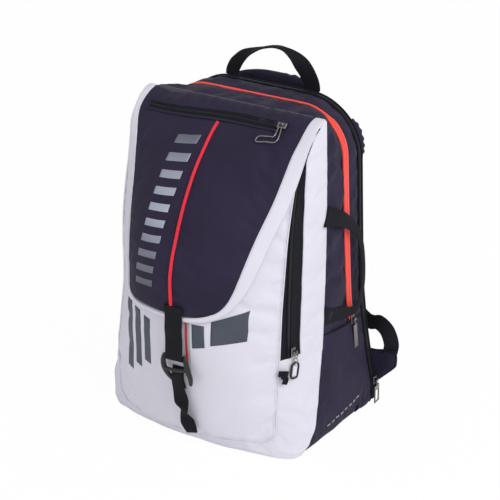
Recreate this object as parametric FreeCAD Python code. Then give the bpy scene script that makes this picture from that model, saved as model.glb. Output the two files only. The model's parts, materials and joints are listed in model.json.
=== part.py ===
import FreeCAD, Part
import math
import os

# Racket backpack: a tall soft bag with three compartments, a buckled front flap and shoulder straps.
# Frame: millimetres, +Z up, the front faces -Y, X runs to the viewer's right, and the origin is the
# centre of the flat base.

Vec = FreeCAD.Vector

# ---------------------------------------------------------------- driving dimensions
BODY_TOP = 484.0            # height of the flap's fold line and of the top panel
BASE_ROUND = 30.0           # radius of the soft edge around the base
CLOTH = 2.5                 # coated polyester with its lining
WEBBING = 2.0               # thickness of polypropylene webbing
GAP = 0.5                   # clearance between neighbouring panels at a seam
PANEL_FLOOR = BASE_ROUND + GAP

# Half-width of the bag against height: the stuffed base is the widest part.
HALF_WIDTH = [(0, 174), (30, 174), (60, 169.5), (100, 163), (150, 156.5), (200, 152.5), (300, 150),
              (400, 148.5), (BODY_TOP, 147)]
SIDE_ROUND = 0.3                # the base's edge is this much tighter along the sides

# Seam planes from front to back: (place at the top, drift to the rear per mm of drop).
FRONT_SEAM = (-8.0, 0.0)        # white gusset to dark body
MAIN_ZIP = (43.0, 0.085)        # red two-way zip over the main compartment
REAR_ZIP = (84.0, 0.075)        # black zip of the racket compartment
BACK_EDGE = (102.0, 0.075)      # edge of the padded back panel
# Low down, the front seam sweeps forwards to the base's front corners: (place, height).
SEAM_SWEEP = [(-8, 215), (-13, 156), (-30, 100), (-45, 60), (-61, 30), (-81, 0), (-84, -5)]
MAIN_ZIP_WIDTH = 15.0
REAR_ZIP_WIDTH = 12.0

# Front panel and flap: front face at the centre line and at EDGE_X, against height.
EDGE_X = 137.0
PANEL_CENTRE = [(0, -134), (31, -143), (114, -150), (143, -154), (173, -157), (200, -158.5),
                (236, -159.5), (267, -160), (297, -155), (322, -147), (358, -131), (387, -115),
                (411, -99), (434, -77), (448, -62)]
PANEL_EDGE = [(0, -108), (31, -107), (65, -106), (112, -102), (170, -99), (223, -97), (275, -92),
              (316, -88), (352, -82), (394, -72), (417, -64), (440, -54), (460, -38), (480, -16)]
FLAP_CENTRE = [(208, -166), (236, -168.5), (267, -170), (297, -165), (322, -156), (358, -141),
               (387, -125), (411, -109), (434, -88), (455, -66), (464, -53), (475, -36),
               (481, -25), (484, -17)]
FLAP_EDGE = [(208, -105), (223, -104), (275, -100), (316, -96), (352, -90), (394, -80), (417, -73),
             (446, -62), (460, -52), (467, -45), (475, -34), (481, -25), (484, -17)]
PANEL_TOP = 440.0               # mouth of the front compartment, under the flap

# Flap outline, half of it, from the fold to the lowest point: (x, z).
FLAP_OUTER = [(149, 484), (149.5, 462), (148, 440), (139, 387), (124, 333), (109, 279), (97, 252),
              (80, 230), (56, 215.5), (28, 210), (0, 208.5)]
FLAP_DARK = [(130, 484), (131, 462), (127, 440), (118, 387), (104, 333), (91, 279), (82, 252),
             (70, 234), (50, 222.5), (25, 217), (0, 215.5)]

# Strap down the front.
STRAP_X = 6.0
STRAP_WIDTH = 29.0

# Zip across the flap, just below the fold: (height, left end, right end).
FLAP_ZIP_LINE = (472.0, -117.0, 100.0)
FLAP_ZIP_WIDTH = 10.0

# Loop handle on the top.
HANDLE_Y = 92.0
HANDLE_PATH = [(-70, 487.5), (-64, 502), (-46, 521.5), (-10, 536), (12, 539.5), (32, 532), (50, 519),
               (61, 503), (67, 487.5)]
HANDLE_WIDTHS = [22, 20, 15, 13, 12, 13, 17, 24, 26]
HANDLE_THICK = 3.4


# ---------------------------------------------------------------- curves
def profile(knots):
    """Smooth value against height through knots: cubic pieces whose slopes never overshoot."""
    zs = [k[0] for k in knots]
    vs = [k[1] for k in knots]
    steps = [(vs[i + 1] - vs[i]) / (zs[i + 1] - zs[i]) for i in range(len(zs) - 1)]
    slopes = [steps[0]]
    for before, after in zip(steps, steps[1:]):
        slopes.append(0.0 if before * after <= 0 else 2 * before * after / (before + after))
    slopes.append(steps[-1])

    def value(z):
        i = 0
        while i < len(steps) - 1 and z > zs[i + 1]:
            i += 1
        width = zs[i + 1] - zs[i]
        t = (z - zs[i]) / width
        if t < 0 or t > 1:
            edge = 0 if t < 0 else 1
            return vs[i + edge] + slopes[i + edge] * (z - zs[i + edge])
        a = (1 + 2 * t) * (1 - t) ** 2
        b = t * (1 - t) ** 2
        c = t * t * (3 - 2 * t)
        d = t * t * (t - 1)
        return a * vs[i] + b * width * slopes[i] + c * vs[i + 1] + d * width * slopes[i + 1]

    return value


def spread(start, end, count):
    return [start + (end - start) * i / (count - 1.0) for i in range(count)]


def path(points, count):
    """Evenly spread points on a smooth curve through the given ones."""
    curve = Part.BSplineCurve()
    curve.interpolate([Vec(*p) for p in points])
    return curve.discretize(Number=count)


half_width = profile(HALF_WIDTH)
panel_centre = profile(PANEL_CENTRE)
panel_edge = profile(PANEL_EDGE)
flap_centre = profile(FLAP_CENTRE)
flap_edge = profile(FLAP_EDGE)


def crowned(centre, edge):
    """A front face that swells from its side edges to the centre line."""
    def at(x, z):
        share = (x / EDGE_X) ** 2
        return Vec(x, centre(z) + (edge(z) - centre(z)) * share, z)
    return at


front_face = crowned(panel_centre, panel_edge)
flap_face = crowned(flap_centre, flap_edge)


def outward(face, x, z):
    """Unit normal of a front face, pointing forwards."""
    step = 0.5
    along = face(x + step, z) - face(x - step, z)
    up = face(x, z + step) - face(x, z - step)
    return along.cross(up).normalize()


# ---------------------------------------------------------------- solids
def skin(rows):
    surface = Part.BSplineSurface()
    surface.interpolate(rows)
    return surface


def slab(outer_rows, inner_rows):
    """Closed solid between two grids of points with the same rows and columns."""
    outer = skin(outer_rows)
    inner = skin(inner_rows)
    faces = [outer.toShape(), inner.toShape()]
    u0, u1, v0, v1 = outer.bounds()
    s0, s1, t0, t1 = inner.bounds()
    pairs = [(outer.uIso(u0), inner.uIso(s0)), (outer.uIso(u1), inner.uIso(s1)),
             (outer.vIso(v0), inner.vIso(t0)), (outer.vIso(v1), inner.vIso(t1))]
    for first, second in pairs:
        faces.append(Part.makeRuledSurface(first.toShape(), second.toShape()))
    shell = Part.makeShell(faces)
    shell.sewShape()
    solid = Part.makeSolid(shell)
    if solid.Volume < 0:
        solid.reverse()
    return solid


def sheet(face, rows, proud, thickness):
    """Fabric laid on a front face: rows of (x, z), its outer side `proud` of the face."""
    outer = [[face(x, z) + outward(face, x, z) * proud for x, z in row] for row in rows]
    inner = [[face(x, z) + outward(face, x, z) * (proud - thickness) for x, z in row] for row in rows]
    return slab(outer, inner)


def evenly(values, count):
    """Values spaced evenly along a path, eased from one to the next."""
    out = []
    for place in spread(0, len(values) - 1, count):
        i = min(int(place), len(values) - 2)
        t = place - i
        t = t * t * (3 - 2 * t)
        out.append(values[i] * (1 - t) + values[i + 1] * t)
    return out


def ribbon(points, across, width, thickness, count=24):
    """Webbing along a smooth path. across: one direction, or one per point, for its width.
    width: one value, or one per point."""
    centre = path(points, count)
    one_way = isinstance(across[0], (int, float))
    sides = [Vec(*across)] * count if one_way else evenly([Vec(*a) for a in across], count)
    widths = [width] * count if isinstance(width, (int, float)) else evenly(width, count)
    outer = []
    inner = []
    for i, p in enumerate(centre):
        along = (centre[min(i + 1, count - 1)] - centre[max(i - 1, 0)]).normalize()
        side = Vec(sides[i])
        side = (side - along * side.dot(along)).normalize()
        lift = along.cross(side) * (thickness / 2.0)
        places = [p + side * (widths[i] * s) for s in (-0.5, 0.0, 0.5)]
        outer.append([q + lift for q in places])
        inner.append([q - lift for q in places])
    return slab(outer, inner)


def block(x0, x1, y0, y1, z0, z1, radius=0.0):
    """Box between two corners, with all its edges rounded."""
    box = Part.makeBox(x1 - x0, y1 - y0, z1 - z0, Vec(x0, y0, z0))
    return box.makeFillet(radius, box.Edges) if radius else box


def prism(points, direction):
    """Flat polygon pushed along a direction."""
    corners = [Vec(*p) for p in points]
    return Part.Face(Part.makePolygon(corners + corners[:1])).extrude(Vec(*direction))


def mirrored(shape):
    return shape.mirror(Vec(0, 0, 0), Vec(1, 0, 0))


def plane_y(plane, z, shift=0.0):
    return plane[0] + plane[1] * (BODY_TOP - z) + shift


def arch_edges(place, inset, top, radius, floor):
    """Right side, corner, top, corner, left side: the outline that all the bag's bands follow."""
    shoulder = top - inset - radius
    reach = half_width(shoulder) - inset
    heights = spread(floor, shoulder, 6)
    side = [place(half_width(z) - inset, z) for z in heights]
    diagonal = radius * (1 - math.sqrt(0.5))
    peak = top - inset
    corner = [side[-1], place(reach - diagonal, peak - diagonal), place(reach - radius, peak)]
    edges = [smooth_edge(side), Part.Arc(*corner).toShape()]
    edges.append(Part.makeLine(corner[2], place(-(reach - radius), peak)))
    corner_left = [place(-(reach - radius), peak), place(-(reach - diagonal), peak - diagonal),
                   place(-reach, shoulder)]
    edges.append(Part.Arc(*corner_left).toShape())
    side_left = [place(-(half_width(z) - inset), z) for z in reversed(heights)]
    edges.append(smooth_edge(side_left))
    return edges, side[0], side_left[-1]


def smooth_edge(points):
    curve = Part.BSplineCurve()
    curve.interpolate(points)
    return curve.toShape()


def arch_solid(front, rear, inset, floor):
    """Filled arch between two ends, each end (plane, shift, inset, top, corner radius)."""
    wires = []
    for plane, shift, own_inset, top, radius in (front, rear):
        def place(x, z, plane=plane, shift=shift):
            return Vec(x, plane_y(plane, z, shift), z)
        edges, right, left = arch_edges(place, own_inset + inset, top, radius - inset, floor)
        wires.append(Part.Wire(edges + [Part.makeLine(left, right)]))
    return Part.makeLoft(wires, True, True)


def band(front, rear, thickness=CLOTH, floor=PANEL_FLOOR):
    """Band of cloth around the bag: a filled arch with a smaller one taken out of it."""
    hollow_front = (front[0], front[1] - 1) + front[2:]
    hollow_rear = (rear[0], rear[1] + 1) + rear[2:]
    hollow = arch_solid(hollow_front, hollow_rear, thickness, floor - 5)
    return arch_solid(front, rear, 0.0, floor).cut(hollow)


def arch_board(plane, shift, inset, top, radius, thickness, floor=PANEL_FLOOR):
    """Board or padded sheet that fills the bag's outline on one seam plane."""
    front = (plane, shift, inset, top, radius)
    rear = (plane, shift + thickness, inset, top, radius)
    return arch_solid(front, rear, 0.0, floor)


# ---------------------------------------------------------------- the bag's body
MAIN_TOP_FRONT = (484.0, 24.0)      # top height and corner radius at the front seam
MAIN_TOP_ZIP = (481.0, 68.0)        # at the red zip
REAR_TOP_ZIP = (484.0, 84.0)        # at the racket compartment's zip
BACK_TOP = (478.0, 80.0)            # at the back panel
BACK_TUCK = 12.0                    # how far the rim turns in behind the sides


def front_panel():
    rows = []
    for z in spread(PANEL_FLOOR, PANEL_TOP, 26):
        reach = EDGE_X - 1.0
        rows.append([(x, z) for x in spread(-reach, reach, 11)])
    return sheet(front_face, rows, 0.0, CLOTH)


def gusset_point(z, share):
    """Point on the right side between the front panel's edge and the front seam."""
    front_x = EDGE_X + 2.5 + max(0.0, z - 400) * 0.09
    front_y = panel_edge(z) + 5.0
    rear_y = plane_y(FRONT_SEAM, z, -1.0)
    swell = 1 - (1 - share) ** 2
    return Vec(front_x + (half_width(z) - front_x) * swell, front_y + (rear_y - front_y) * share, z)


def side_sheet(point, heights, shares, proud, thickness):
    """Cloth on the right side of the bag, given by point(z, share)."""
    outer = []
    inner = []
    for z in heights:
        outer_row = []
        inner_row = []
        for share in shares:
            up = point(z + 0.5, share) - point(z - 0.5, share)
            along = point(z, share + 0.01) - point(z, share - 0.01)
            normal = along.cross(up).normalize()
            outer_row.append(point(z, share) + normal * proud)
            inner_row.append(point(z, share) + normal * (proud - thickness))
        outer.append(outer_row)
        inner.append(inner_row)
    return slab(outer, inner)


GUSSET_TOP = 474.0
ZIP_FOOT = 154.0                # lower end of the gusset zip
ZIP_HEAD = 441.0
TAPE_REAR = ((-64.0, ZIP_FOOT), (-50.0, ZIP_HEAD))     # the tape's rear edge: (y, z)


def gusset():
    return side_sheet(gusset_point, spread(PANEL_FLOOR, GUSSET_TOP, 26), spread(0, 1, 6), 0.0, CLOTH)


def zip_window(margin):
    """Prism over the gusset zip's place, larger by a margin."""
    (low_y, low_z), (high_y, high_z) = TAPE_REAR
    corners = [(100, -150, low_z - margin), (100, low_y + margin, low_z - margin),
               (100, high_y + margin, high_z + margin), (100, -150, high_z + margin)]
    return prism(corners, (100, 0, 0))


def behind_seam(shift):
    """Everything behind the lower front seam, where it sweeps forwards."""
    corners = [(-200, y + shift, z) for y, z in SEAM_SWEEP]
    corners += [(-200, 250, -5), (-200, 250, SEAM_SWEEP[0][1])]
    return prism(corners, (400, 0, 0))


def side_gore():
    """Dark cloth between the swept seam and the side band."""
    return gusset().common(behind_seam(GAP / 2))


def gusset_zip_tape():
    return gusset().common(zip_window(0.0))


RIM_CLEARANCE = 3.0
BOARD = (260.0, 215.0, 3.0)       # stiffener board: across, deep, thick
BOARD_FRONT = -98.0
BOARD_CORNER = 45.0


def base_outline(cloth, tuck):
    """Plan of the base: a crowned front, rounded corners and a nearly straight back. It's drawn in
    by the cloth's thickness, and by a tuck that is smaller along the sides."""
    half = [(0, -142), (55, -140), (100, -132), (130, -121), (150, -108), (163, -93), (171, -76),
            (175, -45), (174.5, 0), (174, 50), (171, 95), (163, 121), (145, 136), (95, 141)]
    points = half + [(0, 142)] + [(-x, y) for x, y in reversed(half[1:])]
    count = len(points)
    ring = []
    for i, (x, y) in enumerate(points):
        before = points[i - 1]
        after = points[(i + 1) % count]
        along = Vec(after[0] - before[0], after[1] - before[1], 0).normalize()
        ring.append(Vec(x - along.y * (cloth + tuck * SIDE_ROUND), y + along.x * (cloth + tuck), 0))
    return ring


def base_tub(inset):
    """Solid with a flat bottom whose edge is rounded up into the sides. An inset one starts higher,
    so that it stands out of the top of the full one when it is taken out of it."""
    radius = BASE_ROUND - inset
    wires = []
    for angle in spread(0, 90, 6):
        level = BASE_ROUND - radius * math.sin(math.radians(angle))
        outline = base_outline(inset, radius * (1 - math.cos(math.radians(angle))))
        curve = Part.BSplineCurve()
        curve.interpolate(Points=[p + Vec(0, 0, level) for p in outline], PeriodicFlag=True)
        wires.append(Part.Wire(curve.toShape()))
    if inset:
        wires.insert(0, wires[0].translated(Vec(0, 0, RIM_CLEARANCE)))
    return Part.makeLoft(wires, True, False)


def base_shell():
    return base_tub(0.0).cut(base_tub(CLOTH))


def base_board():
    across, deep, thick = BOARD
    board = Part.makeBox(across, deep, thick, Vec(-across / 2, BOARD_FRONT, CLOTH + 1))
    upright = [e for e in board.Edges if abs(e.tangentAt(e.FirstParameter).z) > 0.9]
    return board.makeFillet(BOARD_CORNER, upright)


def main_band():
    front = (FRONT_SEAM, 1.5, 0.0) + MAIN_TOP_FRONT
    rear = (MAIN_ZIP, -MAIN_ZIP_WIDTH / 2, 0.0) + MAIN_TOP_ZIP
    return band(front, rear)


def zip_band(plane, width, top):
    half = width / 2 - GAP
    return band((plane, -half, 0.0) + top, (plane, half, 0.0) + top)


def rear_band():
    front = (MAIN_ZIP, MAIN_ZIP_WIDTH / 2, 0.0) + MAIN_TOP_ZIP
    rear = (REAR_ZIP, -REAR_ZIP_WIDTH / 2, 0.0) + REAR_TOP_ZIP
    return band(front, rear)


def back_rim():
    front = (REAR_ZIP, REAR_ZIP_WIDTH / 2, 0.0) + REAR_TOP_ZIP
    rear = (BACK_EDGE, 0.0, BACK_TUCK, BACK_TOP[0] + 6, BACK_TOP[1])
    return band(front, rear)


def side_point(z, share):
    """Point on the right side from the front seam to the racket compartment's zip."""
    front_y = plane_y(FRONT_SEAM, z)
    rear_y = plane_y(REAR_ZIP, z)
    return Vec(half_width(z), front_y + (rear_y - front_y) * share, z)


POCKET_TOP = 145.0
POCKET_FOOT = 34.0
POCKET_PROUD = 2.2              # outer face of the pocket over the side
POCKET_CLOTH = 1.6


def side_pocket():
    """Flat pocket sewn over the lower side; its front edge lies just behind the front seam."""
    shares = spread(0.03, 0.93, 5)
    return side_sheet(side_point, spread(POCKET_FOOT, POCKET_TOP, 9), shares, POCKET_PROUD, POCKET_CLOTH)


# ---------------------------------------------------------------- the front flap
def flap_rows(edge, low, high, margin, count):
    """Rows of (x, z) that fill the flap inside an outline."""
    reach = profile(sorted((z, x) for x, z in edge if x > 0))
    return [[(x, z) for x in spread(margin - reach(z), reach(z) - margin, 11)]
            for z in crowded(low, high, count)]


def crowded(low, high, count):
    """Heights that crowd together towards the fold, where the flap curves most."""
    return [high - (high - low) * t ** 1.6 for t in spread(0, 1, count)]


def flap_panel():
    return sheet(flap_face, flap_rows(FLAP_DARK, 218.0, 483.5, 2.6, 34), 0.0, CLOTH)


def flap_lining():
    return sheet(flap_face, flap_rows(FLAP_DARK, 236.0, 456.0, 7.0, 28), -CLOTH - 1.8, 0.8)


def flap_binding():
    """White edge tape: down one side of the flap, round its lowest point and up the other."""
    def whole(half):
        right = [(x, 0, z) for x, z in half]
        left = [(-x, 0, z) for x, z in reversed(half[:-1])]
        return right + left
    outer = path(whole(FLAP_OUTER), 61)
    inner = path(whole(FLAP_DARK), 61)
    rows = []
    for far, near in zip(outer, inner):
        rows.append([(far.x + (near.x - far.x) * t, min(483.5, far.z + (near.z - far.z) * t))
                     for t in (0.0, 0.5, 1.0)])
    return sheet(flap_face, rows, 0.6, CLOTH + 0.6)


def flap_zip_tape():
    height, left, right = FLAP_ZIP_LINE
    half = FLAP_ZIP_WIDTH / 2
    rows = [[(x, z) for z in (height - half, height, height + half)] for x in spread(left, right, 15)]
    return sheet(flap_face, rows, 1.5, 1.0)


def flap_piping():
    rows = [[(x, z) for x in (-0.5, 2.0, 4.5)] for z in spread(231, 463, 30)]
    return sheet(flap_face, rows, 2.5, 2.0)


def flap_webbing():
    """Strap from the flap's lower edge to the top bar of the hook."""
    return ribbon([(STRAP_X, -170.5, 226), (STRAP_X, -171.5, 205), (STRAP_X, -170, 180),
                   (STRAP_X, -167.5, 158)], (1, 0, 0), STRAP_WIDTH, WEBBING)


HOOK_TOP = 155.0
HOOK_WIDTH = 40.0
HOOK_Y = -165.0


def hook_buckle():
    """Plastic side-arm hook: a webbing bar, a crossbar and two arms that splay below it."""
    half = HOOK_WIDTH / 2
    depth = 4.0
    arms = [(STRAP_X - half, HOOK_TOP), (STRAP_X + half, HOOK_TOP), (STRAP_X + half + 2, HOOK_TOP - 20),
            (STRAP_X + half + 5, HOOK_TOP - 42), (STRAP_X + half - 2, HOOK_TOP - 45),
            (STRAP_X + half - 6, HOOK_TOP - 30), (STRAP_X - half + 6, HOOK_TOP - 30),
            (STRAP_X - half + 2, HOOK_TOP - 45), (STRAP_X - half - 5, HOOK_TOP - 42),
            (STRAP_X - half - 2, HOOK_TOP - 20)]
    body = prism([(x, HOOK_Y - depth / 2, z) for x, z in arms], (0, depth, 0))
    slot_half = STRAP_WIDTH / 2 + 0.5
    for top in (HOOK_TOP - 4, HOOK_TOP - 17):
        body = body.cut(block(STRAP_X - slot_half, STRAP_X + slot_half, HOOK_Y - 5, HOOK_Y + 5, top - 8, top))
    return body


def webbing_tail():
    """Loose end of the strap below the hook: it hangs with half a twist."""
    points = [(8, -164.5, 107), (10, -160, 90), (13, -158, 70), (17, -155, 50), (23, -152.5, 30)]
    across = [(1, 0, 0), (0.9, 0.25, 0), (0.75, -0.35, 0), (0.9, 0.3, 0.1), (0.95, 0, -0.25)]
    return ribbon(points, across, 19.0, WEBBING, 18)


def hook_loop():
    """Fixed webbing loop on the front panel, behind the hook."""
    return ribbon([(STRAP_X, -152.5, 98), (STRAP_X, -155.5, 106), (STRAP_X, -158.5, 116),
                   (STRAP_X, -158.5, 124), (STRAP_X, -156.5, 134)], (1, 0, 0), 20.0, 1.2, 14)


# ---------------------------------------------------------------- handles, straps and wings
def top_handle():
    """Webbing loop: flat legs sewn to the rear seam, and a folded, thicker grip that slopes."""
    points = [(x, HANDLE_Y, z) for x, z in HANDLE_PATH]
    across = [(-0.93, 0, 0.3), (-0.9, 0.2, 0.4), (-0.4, 0.8, 0.3), (0, 1, 0), (0, 1, 0), (0.1, 1, 0.1),
              (0.5, 0.8, 0.4), (0.9, 0.2, 0.4), (0.93, 0, 0.3)]
    return ribbon(points, across, HANDLE_WIDTHS, HANDLE_THICK, 40)


HANDLE_SEAM = -9.0              # the side handle's ends lie flush on this plane, at the front seam


def side_handle():
    """Grab handle on the right side: tapered tabs at the front seam, and a strap that bows out."""
    points = [(151.2, -19, 344), (159.5, 32, 326), (165.5, 72, 302), (167.5, 96, 272), (168, 105, 238),
              (168, 103, 208), (167, 90, 187), (164.5, 58, 178), (155, -19, 191)]
    across = [(0, 0.3, 1), (0, 0.35, 1), (0, 0.7, 0.8), (0, 1, 0.35), (0, 1, 0), (0, 1, -0.35),
              (0, 0.5, -1), (0, -0.1, -1), (0, -0.15, -1)]
    width = [30, 22, 14, 12, 12, 12, 13, 19, 28]
    strip = ribbon(points, across, width, WEBBING, 40)
    return strip.cut(block(140, 180, -60, HANDLE_SEAM, 150, 380))


def strap_yoke():
    """Padded hump behind the top handle, where both shoulder straps are sewn in."""
    y = plane_y(BACK_EDGE, 470, 11.0)
    return block(-62, 62, y, y + 13, 452, 487, 6)


def shoulder_strap():
    """Right padded strap, flat at the top and bowed away from the back."""
    points = [(50, 122, 447), (54, 136, 400), (64, 160, 340), (78, 172, 280), (90, 172, 225), (97, 166, 190)]
    return ribbon(points, (1, 0, 0), 62.0, 13.0)


def ladder_lock():
    """Plastic buckle at the strap's lower end: a frame with two bars."""
    body = block(81, 113, 162, 167, 152, 184)
    for low in (157, 170):
        body = body.cut(block(84.5, 109.5, 150, 180, low, low + 9))
    return body


def strap_wing():
    """Padded triangle sewn into the lower rear corner."""
    corners = [(172, 127, 28), (168, 127, 82), (194, 127, 91), (200, 127, 76), (182, 127, 34)]
    return prism(corners, (0, 7, 0))


def lower_webbing():
    """Adjusting webbing from the wing's tip, up and round behind the bag to below the ladder lock."""
    points = [(199, 135, 84), (199, 136, 101), (193, 137, 117), (177, 141, 128), (156, 149, 127),
              (132, 157, 127), (110, 163, 131), (99, 165, 144)]
    across = [(0.2, 1, 0), (0.2, 1, 0), (0.2, 1, 0.2), (0, 0.9, 0.4), (0.2, 0.9, 0.3), (0.4, 0.8, -0.3),
              (0.5, 0.5, -0.6), (0.9, 0.1, -0.3)]
    return ribbon(points, across, 20.0, WEBBING, 30)


# ---------------------------------------------------------------- zip sliders and pulls
def placed(shape, origin, travel, normal):
    """Moves a shape from local axes (X across, Y along travel, Z out of the face) to the bag."""
    y = Vec(*travel).normalize()
    z = Vec(*normal)
    z = (z - y * z.dot(y)).normalize()
    x = y.cross(z)
    matrix = FreeCAD.Matrix(x.x, y.x, z.x, origin[0], x.y, y.y, z.y, origin[1],
                            x.z, y.z, z.z, origin[2], 0, 0, 0, 1)
    moved = shape.copy()
    moved.transformShape(matrix)
    return moved


PIN_HEIGHT = 6.4                # pull pin above the zip's face
PIN_RADIUS = 0.8
EYE_RADIUS = 0.9


def slider(across=4.5, along=7.0):
    """Zip slider: a rounded plate, two lugs and the pin that carries the pull."""
    plate = block(-across, across, -along, along, 1.9, 4.3, 1.1)
    lugs = [block(side * 3.1 - 0.8, side * 3.1 + 0.8, -2, 2, 3.8, PIN_HEIGHT + 1.6, 0.6)
            for side in (-1, 1)]
    pin = Part.makeCylinder(PIN_RADIUS, 7.4, Vec(-3.7, 0, PIN_HEIGHT), Vec(1, 0, 0))
    return plate.fuse(lugs + [pin]).removeSplitter()


def pull(length, width, window):
    """Flat pull with a window, hung on the slider's pin by an eye between the lugs."""
    eye = Part.makeCylinder(1.9, 3.6, Vec(-1.8, 0, PIN_HEIGHT), Vec(1, 0, 0))
    neck = block(-1.8, 1.8, -9, 0, PIN_HEIGHT - 0.8, PIN_HEIGHT + 0.8)
    plate = block(-width / 2, width / 2, -length, -8, PIN_HEIGHT - 0.9, PIN_HEIGHT + 0.9, 0.7)
    rim = 2.2
    if window:
        plate = plate.cut(block(-width / 2 + rim, width / 2 - rim, -length + rim, -length + window, 0, 20))
    bore = Part.makeCylinder(EYE_RADIUS, 10, Vec(-5, 0, PIN_HEIGHT), Vec(1, 0, 0))
    return eye.fuse([neck, plate]).cut(bore).removeSplitter()


def on_gusset(z, y):
    """Point on the right gusset at a height and depth."""
    front = gusset_point(z, 0.0).y
    rear = gusset_point(z, 1.0).y
    return gusset_point(z, (y - front) / (rear - front))


def zip_places():
    """Each slider at rest: (point on the zip's face, direction up the pull, outward normal)."""
    flap_at = flap_face(98, 472) + outward(flap_face, 98, 472) * 1.4
    gusset_at = on_gusset(163, -80)
    main_at = Vec(half_width(156), plane_y(MAIN_ZIP, 156), 156)
    rear_at = Vec(half_width(40) + 0.6, plane_y(REAR_ZIP, 40), 40)
    return {
        "flap": (flap_at, (0, 0.72, 0.69), (0, -0.69, 0.72)),
        "gusset": (gusset_at, (-0.04, 0.059, 1), (1, -0.12, 0.04)),
        "main": (main_at, (-0.06, -0.085, 1), (1, 0, 0.06)),
        "rear": (rear_at, (0, -0.075, 1), (1, 0, 0)),
    }


# Each pull: (length below the pin, width, length of its window).
PULL_SIZES = {"flap": (24, 6.5, 12), "gusset": (42, 12.0, 20), "main": (46, 10.0, 0), "rear": (38, 14.0, 22)}


def build():
    """Every piece of the backpack under its own name."""
    side = gusset()
    white_side = side.cut(behind_seam(-GAP / 2))
    gore = side_gore()
    base = base_shell()
    pocket = side_pocket()
    wing = strap_wing()
    strap = shoulder_strap()
    lock = ladder_lock()
    lower = lower_webbing()
    nodes = {
        "front_panel": front_panel(),
        "gusset_right": white_side.cut(zip_window(GAP)),
        "gusset_left": mirrored(white_side),
        "gusset_zip_tape": gusset_zip_tape(),
        "side_gore_right": gore,
        "side_gore_left": mirrored(gore),
        "base_front": base.cut(behind_seam(-GAP / 2)),
        "base_rear": base.common(behind_seam(GAP / 2)),
        "base_board": base_board(),
        "front_divider": arch_board(FRONT_SEAM, -0.5, 0.5, *MAIN_TOP_FRONT, 1.5),
        "main_band": main_band(),
        "main_zip_tape": zip_band(MAIN_ZIP, MAIN_ZIP_WIDTH, MAIN_TOP_ZIP),
        "rear_band": rear_band(),
        "racket_divider": arch_board(REAR_ZIP, -24.0, CLOTH + 2.5, 482.0, 78.0, 4.0, PANEL_FLOOR + 4),
        "rear_zip_tape": zip_band(REAR_ZIP, REAR_ZIP_WIDTH, REAR_TOP_ZIP),
        "back_rim": back_rim(),
        "back_panel": arch_board(BACK_EDGE, GAP, BACK_TUCK, BACK_TOP[0] + 6, BACK_TOP[1], 8.0),
        "side_pocket_right": pocket,
        "side_pocket_left": mirrored(pocket),
        "flap_panel": flap_panel(),
        "flap_lining": flap_lining(),
        "flap_binding": flap_binding(),
        "flap_zip_tape": flap_zip_tape(),
        "flap_piping": flap_piping(),
        "flap_webbing": flap_webbing(),
        "hook_buckle": hook_buckle(),
        "webbing_tail": webbing_tail(),
        "hook_loop": hook_loop(),
        "top_handle": top_handle(),
        "side_handle": side_handle(),
        "strap_yoke": strap_yoke(),
        "shoulder_strap_right": strap,
        "shoulder_strap_left": mirrored(strap),
        "ladder_lock_right": lock,
        "ladder_lock_left": mirrored(lock),
        "strap_wing_right": wing,
        "strap_wing_left": mirrored(wing),
        "lower_webbing_right": lower,
        "lower_webbing_left": mirrored(lower),
    }
    for name, place in zip_places().items():
        body = slider(7.0, 4.5) if name == "flap" else slider()
        nodes[name + "_slider"] = placed(body, *place)
        nodes[name + "_pull"] = placed(pull(*PULL_SIZES[name]), *place)
    return nodes


os.makedirs("parts", exist_ok=True)
for node, shape in build().items():
    shape.exportStep("parts/" + node + ".step")
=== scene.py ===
"""Looks of a soft racket backpack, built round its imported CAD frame. Shapes are in millimetres."""
import json
import math

import bpy
import numpy as np
from mathutils import Matrix, Vector
from mathutils.bvhtree import BVHTree


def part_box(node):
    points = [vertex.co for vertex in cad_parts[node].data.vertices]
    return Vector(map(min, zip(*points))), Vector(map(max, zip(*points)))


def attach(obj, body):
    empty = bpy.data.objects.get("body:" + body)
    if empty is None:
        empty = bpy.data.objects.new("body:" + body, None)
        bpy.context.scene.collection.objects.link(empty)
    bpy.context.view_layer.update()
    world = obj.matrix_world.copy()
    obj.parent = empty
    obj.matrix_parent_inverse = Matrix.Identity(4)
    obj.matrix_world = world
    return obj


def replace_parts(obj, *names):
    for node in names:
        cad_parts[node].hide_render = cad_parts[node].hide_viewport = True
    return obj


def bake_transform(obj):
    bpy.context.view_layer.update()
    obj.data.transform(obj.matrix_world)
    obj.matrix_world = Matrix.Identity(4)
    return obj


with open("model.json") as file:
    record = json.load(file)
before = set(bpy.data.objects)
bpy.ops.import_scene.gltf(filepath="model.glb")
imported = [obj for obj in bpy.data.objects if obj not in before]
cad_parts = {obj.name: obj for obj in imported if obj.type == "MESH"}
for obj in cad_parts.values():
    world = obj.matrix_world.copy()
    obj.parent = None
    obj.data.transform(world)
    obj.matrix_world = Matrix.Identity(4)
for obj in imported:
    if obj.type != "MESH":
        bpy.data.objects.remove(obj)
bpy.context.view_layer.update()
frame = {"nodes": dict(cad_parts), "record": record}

MM = 0.001
SETTLE_FRAMES = 18
SIDES = ((1, "right"), (-1, "left"))
BAG_CENTRE = (0, 40, 240)
X_AXIS = (1.0, 0.0, 0.0)
Y_AXIS = (0.0, 1.0, 0.0)


def corner(node):
    """Lowest and highest corner of a CAD node, in millimetres."""
    low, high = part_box(node)
    return np.array(low) / MM, np.array(high) / MM


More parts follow.
